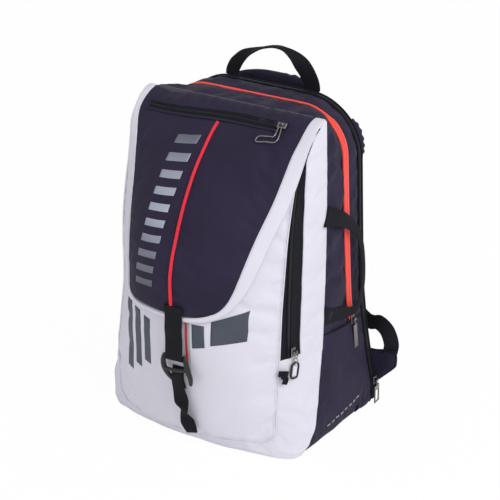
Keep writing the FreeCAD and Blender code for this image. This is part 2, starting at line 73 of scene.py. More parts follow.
# ---------------------------------------------------------------- sizes, read from the frame
TOP = corner("front_divider")[1][2] + 0.5       # the bag's top and the flap's fold
BASE_HALF = corner("base_rear")[1][0]           # half-width of the stuffed base
BASE_ROUND = 20.0                               # height of the soft edge round the base
BASE_TUCK = 8.0                                 # how far that edge turns in along the sides
TOP_HALF = corner("flap_binding")[1][0] - 2.5   # half-width at the fold
FRONT_SEAM_Y = corner("front_divider")[1][1] - 1.5
FLAP_LOW = corner("flap_binding")[0][2]
FLAP_FRONT_Y = corner("flap_panel")[0][1]
PANEL_FRONT_Y = corner("front_panel")[0][1]
PANEL_HALF = corner("front_panel")[1][0] + 1.0
STRAP_X = float(np.mean([corner("flap_webbing")[0][0], corner("flap_webbing")[1][0]]))

# Seam planes, front to back: place at the top and drift to the rear per mm of drop.
MAIN_ZIP = (43.0, 0.085)
REAR_ZIP = (84.0, 0.075)
BACK_EDGE = (102.0, 0.075)
MAIN_ZIP_HALF = 7.5
REAR_ZIP_HALF = 6.0

# Half-width against height, as shares of the base's and the top's.
WIDE = BASE_HALF - 1.0
HALF_WIDTH = [(0, WIDE), (30, WIDE), (60, WIDE - 4.5), (100, WIDE - 11), (150, WIDE - 17.5),
              (200, WIDE - 21.5), (300, WIDE - 24), (400, TOP_HALF + 1.5), (TOP, TOP_HALF)]
# The front seam sweeps forwards low down: (height, place).
SEAM_SWEEP = [(0, FRONT_SEAM_Y - 74), (30, FRONT_SEAM_Y - 53), (60, FRONT_SEAM_Y - 37),
              (100, FRONT_SEAM_Y - 21), (156, FRONT_SEAM_Y - 3), (215, FRONT_SEAM_Y + 4),
              (300, FRONT_SEAM_Y + 7), (400, FRONT_SEAM_Y + 5), (460, FRONT_SEAM_Y + 2),
              (TOP, FRONT_SEAM_Y)]

PANEL_FOOT = 22.0               # lower seam of the front panel
PANEL_CORNER = 23.0             # its rounded lower corners
PANEL_CENTRE = [(0, -134), (25, -143), (60, -146), (114, -150), (143, -154), (173, -157.5),
                (200, -159), (236, PANEL_FRONT_Y), (267, PANEL_FRONT_Y), (297, -155), (322, -147),
                (358, -131), (387, -115), (411, -99), (434, -77), (448, -62), (460, -48), (474, -28)]
PANEL_EDGE = [(0, -103), (25, -106), (65, -104), (112, -101), (170, -99), (223, -97), (275, -92),
              (316, -88), (352, -82), (394, -72), (417, -64), (440, -54), (460, -38), (480, -16)]
FLAP_CENTRE = [(208, -166), (236, -168.5), (267, FLAP_FRONT_Y), (297, -165), (322, -156), (358, -141),
               (387, -125), (411, -109), (434, -88), (455, -66), (464, -53), (475, -36), (481, -24),
               (483.5, -16), (TOP, -9)]
FLAP_EDGE = [(208, -105), (223, -104), (275, -100), (316, -96), (352, -90), (394, -80), (417, -73),
             (446, -62), (460, -52), (467, -45), (475, -34), (481, -23), (483.5, -15), (TOP, -9)]
FLAP_OUTER = [(149, 484), (149.5, 462), (148, 440), (139, 387), (124, 333), (109, 279), (97, 252),
              (80, 230), (56, 215.5), (28, 210), (0, FLAP_LOW)]
FLAP_DARK = [(131, 484), (131, 462), (127, 440), (118, 387), (104, 333), (91, 279), (82, 252),
             (70, 234), (50, 222.5), (25, 217), (0, 215.5)]
# The left half hangs a little lower and squarer.
FLAP_OUTER_LEFT = [(-145, 484), (-140.5, 462), (-139, 440), (-126.5, 387), (-115, 333), (-105, 279),
                   (-101, 250), (-101, 226), (-93, 211), (-73, 206.5), (-40, 207.5)]
FLAP_DARK_LEFT = [(-131, 484), (-131, 462), (-124, 440), (-108, 387), (-98, 333), (-89, 279),
                  (-87, 255), (-88, 229), (-81, 218), (-66, 214), (-40, 214.5)]


# ---------------------------------------------------------------- curves and fields
def profile(knots):
    """Smooth value against height through knots, whose slopes never overshoot."""
    zs = np.array([k[0] for k in knots], float)
    vs = np.array([k[1] for k in knots], float)
    steps = np.diff(vs) / np.diff(zs)
    inner = np.where(steps[:-1] * steps[1:] <= 0, 0.0,
                     2 * steps[:-1] * steps[1:] / (steps[:-1] + steps[1:] + 1e-12))
    slopes = np.concatenate([[steps[0]], inner, [steps[-1]]])

    def value(z):
        z = np.asarray(z, float)
        i = np.clip(np.searchsorted(zs, z) - 1, 0, len(steps) - 1)
        width = zs[i + 1] - zs[i]
        t = np.clip((z - zs[i]) / width, 0, 1)
        curve = ((1 + 2 * t) * (1 - t) ** 2 * vs[i] + t * (1 - t) ** 2 * width * slopes[i]
                 + t * t * (3 - 2 * t) * vs[i + 1] + t * t * (t - 1) * width * slopes[i + 1])
        return curve + np.where(z > zs[-1], (z - zs[-1]) * slopes[-1], 0.0)

    return value


def ease(x):
    x = np.clip(x, 0.0, 1.0)
    return x * x * (3 - 2 * x)


def tiled(direction, count):
    """One direction, repeated for every station of a path."""
    return np.tile(np.array(direction, float), (count, 1))


def from_edges(count):
    """Number of columns between each column of a sheet and the sheet's nearer edge."""
    return np.minimum(np.arange(count), np.arange(count)[::-1])


def smooth_path(points, count, closed=False):
    """Evenly spread points on a Catmull-Rom curve through the given ones."""
    p = np.array(points, float)
    if closed:
        p = np.vstack([p[-1], p, p[0], p[1]])
    else:
        p = np.vstack([2 * p[0] - p[1], p, 2 * p[-1] - p[-2]])
    fine = []
    for a, b, c, d in zip(p[:-3], p[1:-2], p[2:-1], p[3:]):
        for t in np.linspace(0, 1, 24, endpoint=False):
            fine.append(0.5 * (2 * b + (c - a) * t + (2 * a - 5 * b + 4 * c - d) * t * t
                               + (3 * b - a - 3 * c + d) * t ** 3))
    fine.append(p[-2])
    return resample(np.array(fine), count)


def resample(p, count):
    walk = np.concatenate([[0], np.cumsum(np.linalg.norm(np.diff(p, axis=0), axis=1))])
    at = np.linspace(0, walk[-1], count)
    return np.stack([np.interp(at, walk, p[:, k]) for k in range(p.shape[1])], axis=1)


def unit(v):
    return v / np.maximum(np.linalg.norm(v, axis=-1, keepdims=True), 1e-9)


def ripple(points, size, seed, octaves=3):
    """Smooth unevenness in -1..1 at points (mm): a few turned sine fields per octave."""
    local = np.random.default_rng(seed)
    total = np.zeros(points.shape[:-1])
    weight = 0.0
    for octave in range(octaves):
        scale = 2 * math.pi / (size / 1.9 ** octave)
        share = 0.55 ** octave
        for _ in range(5):
            direction = unit(local.normal(size=3))
            phase = local.uniform(0, 2 * math.pi)
            bend = np.sin(points @ unit(local.normal(size=3)) * scale * 0.6 + local.uniform(0, 6.28))
            total += share * np.sin(points @ direction * scale + phase + 1.3 * bend)
        weight += share * 5 ** 0.5
    return total / (weight * 1.2)


half_width = profile(HALF_WIDTH)
panel_centre = profile(PANEL_CENTRE)
panel_edge = profile(PANEL_EDGE)
flap_centre = profile(FLAP_CENTRE)
flap_edge = profile(FLAP_EDGE)
seam_y = profile(SEAM_SWEEP)


def seam_x(z, y):
    """Half-width of the bag at a height and depth: the base's front corners turn in."""
    return half_width(z) - 0.0035 * np.maximum(0.0, -45.0 - y) ** 2


def lean_in(p):
    """The left side sags outwards low down, and is drawn in above that and again at the floor."""
    low = p[..., 2]
    sag = -4.0 * np.exp(-((low - 105.0) / 35.0) ** 2) + 10.0 * np.maximum(0.0, 1 - low / 50.0) ** 2
    sag = sag + 6.0 * np.exp(-((low - 220.0) / 48.0) ** 2)
    p[..., 0] += sag * ease((-p[..., 0] - 100.0) / 40.0)
    return p


def front_point(x, z, centre=panel_centre, edge=panel_edge):
    share = (np.asarray(x) / PANEL_HALF) ** 2
    y = centre(z) + (edge(z) - centre(z)) * share
    return np.stack(np.broadcast_arrays(np.asarray(x, float), y, np.asarray(z, float)), axis=-1)


def flap_point(x, z):
    return front_point(x, z, flap_centre, flap_edge)


def grid_normals(p):
    """Unit normals of a grid of points: rows x columns x 3."""
    return unit(np.cross(np.gradient(p, axis=1), np.gradient(p, axis=0)))


def facing(normals, points, centre):
    """Turns normals so that they point away from a centre."""
    flip = np.sum(normals * (points - np.array(centre, float)), axis=-1, keepdims=True) < 0
    return np.where(flip, -normals, normals)


# ---------------------------------------------------------------- meshes
def mesh_object(name, verts, faces, material, uvs=None, smooth=True):
    mesh = bpy.data.meshes.new(name)
    mesh.from_pydata([tuple(v) for v in np.asarray(verts) * MM], [], [tuple(f) for f in faces])
    if uvs is not None:
        layer = mesh.uv_layers.new(name="cloth")
        loops = np.zeros(len(mesh.loops), np.int32)
        mesh.loops.foreach_get("vertex_index", loops)
        layer.data.foreach_set("uv", (np.asarray(uvs)[loops] * MM).astype(np.float32).ravel())
    mesh.polygons.foreach_set("use_smooth", [smooth] * len(mesh.polygons))
    mesh.materials.append(material)
    mesh.update()
    obj = bpy.data.objects.new(name, mesh)
    bpy.context.scene.collection.objects.link(obj)
    return obj


def grid_faces(rows, cols, wrap=False, keep=None):
    faces = []
    for r in range(rows if wrap else rows - 1):
        for c in range(cols - 1):
            if keep is not None and not keep[r, c]:
                continue
            below = (r + 1) % rows
            faces.append((r * cols + c, r * cols + c + 1, below * cols + c + 1, below * cols + c))
    return faces


def grid_uvs(p):
    """Flattened cloth coordinates of a grid, in mm along its columns and rows."""
    across = np.concatenate([np.zeros((p.shape[0], 1)),
                             np.cumsum(np.linalg.norm(np.diff(p, axis=1), axis=2), axis=1)], axis=1)
    across -= across[:, across.shape[1] // 2][:, None]
    down = np.concatenate([np.zeros((1, p.shape[1])),
                           np.cumsum(np.linalg.norm(np.diff(p, axis=0), axis=2), axis=0)], axis=0)
    down = np.repeat(np.mean(down, axis=1)[:, None], p.shape[1], axis=1)
    return np.stack([across, down], axis=-1).reshape(-1, 2)


def settle(obj, pinned, slack, push, most):
    """Lets a sheet of cloth with a little slack bulge and crease between its pinned seams.
    pinned: indices of vertices. slack: share of extra cloth. most: largest movement, in mm."""
    scene = bpy.context.scene
    obj.vertex_groups.new(name="pinned").add([int(i) for i in pinned], 1.0, "REPLACE")
    modifier = obj.modifiers.new("settle", "CLOTH")
    cloth = modifier.settings
    cloth.quality = 5
    cloth.mass = 0.15
    cloth.tension_stiffness = 18
    cloth.compression_stiffness = 18
    cloth.shear_stiffness = 6
    cloth.bending_stiffness = 0.35
    cloth.tension_damping = 8
    cloth.air_damping = 2
    cloth.use_pressure = True
    cloth.uniform_pressure_force = push
    cloth.shrink_min = -slack
    cloth.vertex_group_mass = "pinned"
    cloth.effector_weights.gravity = 0.0
    modifier.collision_settings.use_collision = False
    modifier.point_cache.frame_start = 1
    modifier.point_cache.frame_end = SETTLE_FRAMES
    for number in range(1, SETTLE_FRAMES + 1):
        scene.frame_set(number)
    posed = obj.evaluated_get(bpy.context.evaluated_depsgraph_get()).data
    after = np.zeros(len(posed.vertices) * 3)
    before = np.zeros(len(obj.data.vertices) * 3)
    posed.vertices.foreach_get("co", after)
    obj.data.vertices.foreach_get("co", before)
    move = (after - before).reshape(-1, 3)
    length = np.linalg.norm(move, axis=1, keepdims=True)
    limit = most * MM
    move *= limit * np.tanh(length / limit) / np.maximum(length, 1e-9)
    obj.modifiers.remove(modifier)
    obj.vertex_groups.clear()
    obj.data.vertices.foreach_set("co", before + move.ravel())
    obj.data.update()
    scene.frame_set(1)


def rim_of(rows, cols, wrap):
    """Marks the vertices along the edges of a grid, for pinning."""
    rim = np.zeros((rows, cols), bool)
    rim[:, [0, -1]] = True
    if not wrap:
        rim[[0, -1], :] = True
    return rim


def cloth_grid(name, p, material, thickness=1.2, wrap=False, keep=None, inside=BAG_CENTRE, slack=None):
    """Sheet of cloth from a grid of points, whose back face lies towards the point inside. keep marks the
    grid's faces that are made. slack, when the sheet is to be settled, is (share, push, most, extra pinned
    vertices)."""
    rows, cols = p.shape[:2]
    faces = grid_faces(rows, cols, wrap, keep)
    verts = p.reshape(-1, 3)
    uvs = grid_uvs(p)
    if keep is not None:
        used = sorted({i for f in faces for i in f})
        index = {old: new for new, old in enumerate(used)}
        faces = [tuple(index[i] for i in f) for f in faces]
        verts = verts[used]
        uvs = uvs[used]
    first = verts[list(faces[len(faces) // 2])]
    normal = np.cross(first[1] - first[0], first[3] - first[0])
    away = first.mean(0) - np.array(inside, float)
    if normal @ away < 0:
        faces = [f[::-1] for f in faces]
    obj = mesh_object(name, verts, faces, material, uvs)
    if slack is not None:
        share, push, most, extra = slack
        rim = rim_of(rows, cols, wrap) | (extra if extra is not None else False)
        chosen = np.flatnonzero(rim)
        if keep is not None:
            chosen = [index[i] for i in chosen if i in index]
        settle(obj, chosen, share, push, most)
    thick = obj.modifiers.new("cloth", "SOLIDIFY")
    thick.thickness = thickness * MM
    thick.offset = -1.0
    return obj


def sweep(name, centres, sides, outline, material, closed=False):
    """Cross-section carried along a path, with capped ends. outline: (k, 2) across and lift, or one for
    each station. sides: one direction across the path, or one for each station."""
    count = len(centres)
    along = np.roll(centres, -1, 0) - np.roll(centres, 1, 0) if closed else np.gradient(centres, axis=0)
    along = unit(along)
    sides = np.broadcast_to(np.array(sides, float), np.shape(centres))
    sides = unit(sides - along * np.sum(sides * along, axis=1, keepdims=True))
    lifts = np.cross(along, sides)
    outline = np.broadcast_to(outline, (count,) + np.shape(outline)[-2:])
    p = (centres[:, None, :] + sides[:, None, :] * outline[..., :1] + lifts[:, None, :] * outline[..., 1:])
    loop = p.shape[1]
    faces = []
    for r in range(count if closed else count - 1):
        below = (r + 1) % count
        for c in range(loop):
            beside = (c + 1) % loop
            faces.append((r * loop + c, r * loop + beside, below * loop + beside, below * loop + c))
    if not closed:
        faces.append(tuple(reversed(range(loop))))
        faces.append(tuple((count - 1) * loop + c for c in range(loop)))
    walk = np.concatenate([[0], np.cumsum(np.linalg.norm(np.diff(centres, axis=0), axis=1))])
    uvs = np.stack([outline[..., 0], np.repeat(walk[:, None], loop, 1)], axis=-1).reshape(-1, 2)
    return mesh_object(name, p.reshape(-1, 3), faces, material, uvs)


def strap_outline(width, thickness):
    """Cross-section of webbing: flat faces and round edges."""
    r = thickness / 2
    points = []
    for end in (1, -1):
        for a in np.linspace(-90, 90, 6):
            a = math.radians(a)
            points.append((end * (width / 2 - r + r * math.cos(a)), end * r * math.sin(a)))
    return np.array(points)


def tube_outline(radius, sides=10):
    a = np.linspace(0, 2 * math.pi, sides, endpoint=False)
    return np.stack([radius * np.cos(a), radius * np.sin(a)], axis=1)


def subdivide(obj):
    modifier = obj.modifiers.new("smooth", "SUBSURF")
    modifier.levels = 1
    modifier.render_levels = 1
    return obj


def bevel(obj, width, segments=3):
    """Rounds a carried-over part's sharp edges."""
    modifier = obj.modifiers.new("edges", "BEVEL")
    modifier.width = width * MM
    modifier.segments = segments
    modifier.limit_method = "ANGLE"
    modifier.angle_limit = math.radians(35)


# ---------------------------------------------------------------- materials
class Nodes:
    """Short names for building a material's nodes."""

    def __init__(self, name):
        self.material = bpy.data.materials.new(name)
        self.material.use_nodes = True
        self.tree = self.material.node_tree
        self.shader = self.tree.nodes["Principled BSDF"]

    def add(self, kind, **values):
        node = self.tree.nodes.new(kind)
        for key, value in values.items():
            if key in node.inputs:
                node.inputs[key].default_value = value
            else:
                setattr(node, key, value)
        return node

    def link(self, a, b):
        self.tree.links.new(a, b)

    def surface(self, **sockets):
        """Feeds or sets the shader's inputs; an underscore in a name stands for a space."""
        for name, value in sockets.items():
            socket = self.shader.inputs[name.replace("_", " ")]
            if isinstance(value, (int, float)):
                socket.default_value = value
            else:
                self.link(value, socket)

    def math(self, operation, *values):
        node = self.add("ShaderNodeMath", operation=operation)
        for socket, value in zip(node.inputs, values):
            if isinstance(value, (int, float)):
                socket.default_value = value
            else:
                self.link(value, socket)
        return node.outputs[0]

    def cloth(self):
        """Cloth coordinates in metres: across and along."""
        split = self.add("ShaderNodeSeparateXYZ")
        uv = self.add("ShaderNodeUVMap")
        self.link(uv.outputs["UV"], split.inputs[0])
        return split.outputs[0], split.outputs[1]

    def noise(self, scale, detail=3.0, rough=0.5, stretch=None):
        coords = self.add("ShaderNodeTexCoord").outputs["Object"]
        if stretch is not None:
            mapping = self.add("ShaderNodeMapping")
            mapping.inputs["Scale"].default_value = stretch
            self.link(coords, mapping.inputs[0])
            coords = mapping.outputs[0]
        node = self.add("ShaderNodeTexNoise", Scale=scale, Detail=detail, Roughness=rough)
        self.link(coords, node.inputs["Vector"])
        return node.outputs["Fac"]

    def wave(self, value, pitch_mm, phase=0.0):
        """0..1 sine of a coordinate in metres."""
        turned = self.math("MULTIPLY_ADD", value, 2 * math.pi / (pitch_mm * MM), phase)
        return self.math("MULTIPLY_ADD", self.math("SINE", turned, 0.0), 0.5, 0.5)

    def checks(self, across, along, pitch_mm, phase=0.0):
        """0..1 field of rounded squares, as threads make."""
        return self.math("MULTIPLY", self.wave(across, pitch_mm, phase), self.wave(along, pitch_mm, phase))

    def mix(self, factor, a, b):
        node = self.add("ShaderNodeMix", data_type="RGBA")
        self.link(factor, node.inputs["Factor"])
        for socket, value in ((node.inputs[6], a), (node.inputs[7], b)):
            if hasattr(value, "is_linked"):
                self.link(value, socket)
            else:
                socket.default_value = tuple(value) + (1.0,)
        return node.outputs[2]

    def ramp(self, value, low, high):
        node = self.add("ShaderNodeMapRange")
        node.inputs["From Min"].default_value = low
        node.inputs["From Max"].default_value = high
        self.link(value, node.inputs[0])
        return node.outputs[0]

    def bump(self, height, strength, distance_mm, before=None):
        node = self.add("ShaderNodeBump", Strength=strength)
        node.inputs["Distance"].default_value = distance_mm * MM
        self.link(height, node.inputs["Height"])
        if before is not None:
            self.link(before, node.inputs["Normal"])
        return node.outputs[0]


def shade(colour, gain):
    return tuple(min(1.0, c * gain) for c in colour)


def woven(name, colour, pitch=0.9, weave=0.35, roughness=0.75, sheen=0.2, mottle=0.12, crease=0.4):
    """Plain-woven polyester: over-and-under threads, small creases and uneven dye."""
    n = Nodes(name)
    across, along = n.cloth()
    over = n.checks(across, along, pitch)
    under = n.checks(across, along, pitch, math.pi)
    threads = n.math("ADD", over, under)
    patches = n.ramp(n.noise(14.0, 4.0, 0.55), 0.3, 0.7)
    tone = n.mix(patches, shade(colour, 1 - mottle), shade(colour, 1 + mottle))
    fleck = n.ramp(n.noise(900.0, 2.0), 0.2, 0.8)
    base = n.mix(n.math("MULTIPLY", fleck, 0.35), tone, shade(colour, 1 + 2.2 * mottle))
    rough = n.math("MULTIPLY_ADD", n.noise(60.0), 0.16, roughness - 0.08)
    soft = n.bump(n.noise(42.0, 3.0, 0.5), crease, 1.6)
    n.surface(Base_Color=base, Roughness=rough, Sheen_Weight=sheen, Sheen_Roughness=0.45,
              Specular_IOR_Level=0.18, Normal=n.bump(threads, weave, 0.25, soft))
    return n.material


def webbing_material(name, colour):
    """Ribbed polypropylene webbing: a twill of diagonal ribs with flat selvedges, with painted shade in the
    grooves and painted highlight on the ribs.
    """
    n = Nodes(name)
    across, along = n.cloth()
    diagonal = n.math("ADD", n.math("ABSOLUTE", across), along)
    ribs = n.wave(diagonal, 1.9)
    threads = n.wave(across, 1.1)
    height = n.math("ADD", ribs, n.math("MULTIPLY", threads, 0.6))
    # Painted shade in the grooves and painted highlight on the rib tops: the colour follows the rib height.
    tone = n.mix(n.ramp(height, 0.2, 1.5), shade(colour, 0.65), shade(colour, 1.5))
    n.surface(Base_Color=tone, Roughness=0.7, Specular_IOR_Level=0.22, Normal=n.bump(height, 0.6, 0.35))
    return n.material


def spacer_mesh(name, colour):
    """Padded spacer mesh: a field of small round holes, with painted shade in the holes and a lighter, lit
    tone painted on the mesh between them.
    """
    n = Nodes(name)
    across, along = n.cloth()
    field = n.math("MAXIMUM", n.checks(across, along, 3.4), n.checks(across, along, 3.4, math.pi))
    pits = n.ramp(field, 0.45, 0.8)
    # Painted shade: the holes take a dark copy of the colour, and the mesh between them a lighter, lit
    # copy.
    tone = n.mix(pits, shade(colour, 1.6), shade(colour, 0.35))
    deep = n.bump(n.math("SUBTRACT", 1.0, pits), 0.7, 0.8, n.bump(n.noise(35.0), 0.3, 2.0))
    n.surface(Base_Color=tone, Roughness=0.85, Sheen_Weight=0.3, Normal=deep)
    return n.material


def plastic(name, colour, roughness):
    """Moulded plastic, and thread and coil, with a fine grain and slightly uneven gloss."""
    n = Nodes(name)
    tone = n.mix(n.noise(80.0, 4.0), shade(colour, 0.8), shade(colour, 1.35))
    rough = n.math("MULTIPLY_ADD", n.noise(300.0), 0.2, roughness - 0.1)
    n.surface(Base_Color=tone, Roughness=rough, Normal=n.bump(n.noise(1500.0, 2.0), 0.25, 0.15))
    return n.material


def metal(name, colour, roughness=0.28):
    """Plated zip metal: polished faces, colour brighter on sharp edges, and fine scratches."""
    n = Nodes(name)
    # Base colour is brighter where the surface is sharply convex.
    sharp_edge_share = n.ramp(n.add("ShaderNodeNewGeometry").outputs["Pointiness"], 0.5, 0.58)
    rough = n.math("MULTIPLY_ADD", n.noise(400.0, 3.0, 0.6, (1, 1, 8)), 0.25, roughness - 0.1)
    n.surface(Base_Color=n.mix(sharp_edge_share, colour, shade(colour, 2.2)), Metallic=1.0, Roughness=rough,
              Normal=n.bump(n.noise(700.0, 2.0, 0.5, (1, 1, 6)), 0.15, 0.1))
    return n.material


def ink_bump(n):
    """The cloth's weave and creases, as they show through printed ink."""
    return n.bump(n.checks(*n.cloth(), 0.9), 0.25, 0.15, n.bump(n.noise(42.0), 0.25, 1.0))


def printed(name, colour):
    """Screen-printed ink: slightly glossier than the cloth, and still showing its weave."""
    n = Nodes(name)
    tone = n.mix(n.ramp(n.noise(30.0, 4.0), 0.3, 0.7), shade(colour, 0.9), shade(colour, 1.12))
    n.surface(Base_Color=tone, Roughness=0.5, Normal=ink_bump(n))
    return n.material


def silver_print(name, stops):
    """Metallic ink whose tone runs with height. stops: (height in mm, grey) from the bottom up."""
    n = Nodes(name)
    split = n.add("ShaderNodeSeparateXYZ")
    n.link(n.add("ShaderNodeTexCoord").outputs["Object"], split.inputs[0])
    low = stops[0][0]
    span = stops[-1][0] - low
    ramp = n.add("ShaderNodeValToRGB")
    n.link(n.ramp(split.outputs[2], low * MM, (low + span) * MM), ramp.inputs[0])
    while len(ramp.color_ramp.elements) < len(stops):
        ramp.color_ramp.elements.new(0.5)
    for element, (height, grey) in zip(ramp.color_ramp.elements, stops):
        element.position = (height - low) / span
        element.color = (grey, grey * 1.07, grey * 1.36, 1.0)
    n.surface(Base_Color=ramp.outputs[0], Metallic=0.25, Roughness=0.42, Normal=ink_bump(n))
    return n.material


dark_cloth = woven("dark_cloth", (0.0200, 0.0150, 0.0385), sheen=0.03, roughness=0.66, mottle=0.2,
                   crease=0.6)
white_cloth = woven("white_cloth", (0.70, 0.69, 0.775), weave=0.2, sheen=0.03, mottle=0.02, roughness=0.6)
black_tape = woven("black_tape", (0.0055, 0.006, 0.0105), pitch=0.6, sheen=0.04)
black_coil = plastic("black_coil", (0.012, 0.013, 0.017), 0.4)
coral_tape = woven("coral_tape", (0.93, 0.075, 0.055), pitch=0.5, weave=0.1, roughness=0.42,
                   mottle=0.04)
coral_line = plastic("coral_line", (0.45, 0.02, 0.02), 0.5)
red_piping = woven("red_piping", (0.80, 0.022, 0.045), pitch=0.5, weave=0.15, roughness=0.45,
                   mottle=0.05)
webbing = webbing_material("webbing", (0.0045, 0.0045, 0.0085))
back_mesh = spacer_mesh("back_mesh", (0.010, 0.0095, 0.013))
buckle_plastic = plastic("buckle_plastic", (0.007, 0.007, 0.009), 0.36)
zip_metal = metal("zip_metal", (0.16, 0.15, 0.15))
slate_ink = printed("slate_ink", (0.050, 0.060, 0.085))
white_thread = plastic("white_thread", (0.62, 0.61, 0.66), 0.7)
dark_thread = plastic("dark_thread", (0.018, 0.017, 0.024), 0.7)
silver_ink = silver_print("silver_ink", [(238, 0.07), (300, 0.20), (350, 0.42), (410, 0.30),
                                         (452, 0.10)])
pale_ink = printed("pale_ink", (0.42, 0.42, 0.46))
red_ink = printed("red_ink", (0.72, 0.03, 0.05))
lining_cloth = woven("lining_cloth", (0.10, 0.10, 0.115), pitch=0.7)


# ---------------------------------------------------------------- rings round the bag
def half_outline(inset, top, radius):
    """Right half of the bag's outline, (x, z), from the base's middle to the top's middle."""
    floor_x = half_width(BASE_ROUND) - BASE_TUCK
    shoulder = top - radius
    reach = half_width(shoulder) - inset
    quarter = np.linspace(0, math.pi / 2, 10, endpoint=False)
    flat = np.linspace(0, 1, 12, endpoint=False)
    parts = [np.stack([floor_x * flat, np.full(12, inset)], 1)]
    tuck = max(BASE_TUCK - inset, 1.0)
    parts.append(np.stack([half_width(BASE_ROUND) - inset - tuck * (1 - np.sin(quarter)),
                           BASE_ROUND - (BASE_ROUND - inset) * np.cos(quarter)], 1))
    z = np.linspace(BASE_ROUND, shoulder, 60, endpoint=False)
    parts.append(np.stack([half_width(z) - inset, z], 1))
    r = radius - inset
    turn = np.linspace(0, math.pi / 2, 17, endpoint=False)
    parts.append(np.stack([reach - r + r * np.cos(turn), shoulder + r * np.sin(turn)], 1))
    x = (reach - r) * np.linspace(1, 0, 14)
    parts.append(np.stack([x, np.full(14, top - inset)], 1))
    return np.vstack(parts)


def ring(plane, shift, inset, top, radius):
    """Closed outline of the bag on a seam plane, as points. plane: (place, drift) or a profile."""
    half = half_outline(inset, top, radius)
    whole = np.vstack([half, (half * (-1, 1))[-2:0:-1]])
    if callable(plane):
        y = plane(whole[:, 1]) + shift
        turned = 0.0035 * np.maximum(0.0, -45.0 - y) ** 2
        whole[:, 0] = np.sign(whole[:, 0]) * np.maximum(np.abs(whole[:, 0]) - turned, 0.0)
    else:
        y = plane[0] + shift + plane[1] * (TOP - whole[:, 1])
    return lean_in(np.stack([whole[:, 0], y, whole[:, 1]], axis=1))


def ring_normals(points):
    along = np.roll(points, -1, 0) - np.roll(points, 1, 0)
    return unit(np.stack([along[:, 2], np.zeros(len(points)), -along[:, 0]], axis=1))


def band_points(front, rear, columns, puff, pinch, crumple, seed):
    """Cloth band between two rings: it puffs between its seams, and is pinched along them."""
    v = np.linspace(0, 1, columns)
    normals = ring_normals((front + rear) / 2)
    p = front[:, None] + (rear - front)[:, None] * v[None, :, None]
    width = np.linalg.norm(rear - front, axis=1)[:, None]
    edge = np.minimum(v, 1 - v)[None, :] * width
    swell = puff * 4 * v * (1 - v) - pinch * np.exp(-(edge / 2.2) ** 2)
    fold = ripple(p * (1, 1, 0.6), 70.0, seed) * crumple * ease(edge / 8.0)
    p = p + normals[:, None] * (swell + fold)[..., None]
    p[..., 2] = np.maximum(p[..., 2], FLOOR_GAP)
    return p


FLOOR_GAP = 0.4                 # lowest the stuffed bands come to the floor
SEAM_RING = ring(seam_y, 0.0, 0.0, TOP, 16.0)
MAIN_TOP = (TOP - 3.0, 68.0)
REAR_TOP = (TOP, 84.0)
POCKET_MOUTH = 158.0            # mean height of the side pockets' mouths


def dip_left(p):
    """The top slumps a little behind the flap's left corner."""
    share = np.exp(-((p[..., 0] + 104.0) / 24.0) ** 2) * np.exp(-((p[..., 1] + 2.0) / 30.0) ** 2)
    p[..., 2] -= 7.0 * share * ease((p[..., 2] - 455.0) / 22.0)


def low_rows(p):
    """The part of a sheet that lies on the floor, which doesn't move when it's settled."""
    return p[..., 2] < 9.0


def main_band():
    rear = ring(MAIN_ZIP, 0.0, 0.0, *MAIN_TOP)
    rear[:, 1] -= MAIN_ZIP_HALF * zip_widths(rear) - 1.0
    p = band_points(SEAM_RING, rear, 24, 1.6, 1.4, 0.9, 11)
    under_pocket = (p[..., 2] < POCKET_MOUTH - 4.0) & (np.abs(p[..., 0]) > 120)
    p[..., 0] -= np.where(under_pocket, 3.0 * np.sign(p[..., 0]), 0.0)
    dip_left(p)
    still = low_rows(p) | under_pocket
    piece = cloth_grid("main_band_cloth", p, dark_cloth, wrap=True, slack=(0.05, 6.0, 3.5, still))
    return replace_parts(subdivide(piece), "main_band", "side_gore_right", "side_gore_left", "base_rear")


def rear_band():
    front = ring(MAIN_ZIP, 0.0, 0.0, *MAIN_TOP)
    front[:, 1] += MAIN_ZIP_HALF * zip_widths(front) - 1.0
    rear = ring(REAR_ZIP, -REAR_ZIP_HALF, 0.0, *REAR_TOP)
    p = band_points(front, rear, 14, 1.3, 0.9, 0.6, 12)
    slack = (0.04, 6.0, 2.0, low_rows(p))
    piece = cloth_grid("rear_band_cloth", p, dark_cloth, wrap=True, slack=slack)
    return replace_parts(subdivide(piece), "rear_band")


def zip_ring(plane, top, heights):
    """Grid across a zip that runs round the bag. heights: (place across, lift) of each column."""
    middle = ring(plane, 0.0, 0.0, *top)
    normals = ring_normals(middle)
    share = zip_widths(middle)[:, None] if plane is MAIN_ZIP else 1.0
    columns = [middle + np.array([0, across, 0]) * share + normals * lift for across, lift in heights]
    return np.stack(columns, axis=1)


def zip_widths(middle):
    """Share of the coral zip's width at each place: pinched over the top and at its two ends."""
    top = ease((middle[:, 2] - (TOP - 26.0)) / 16.0)
    foot = ease((middle[:, 2] - 150.0) / 16.0)
    return (0.35 + 0.65 * foot) * (1 - 0.62 * top)


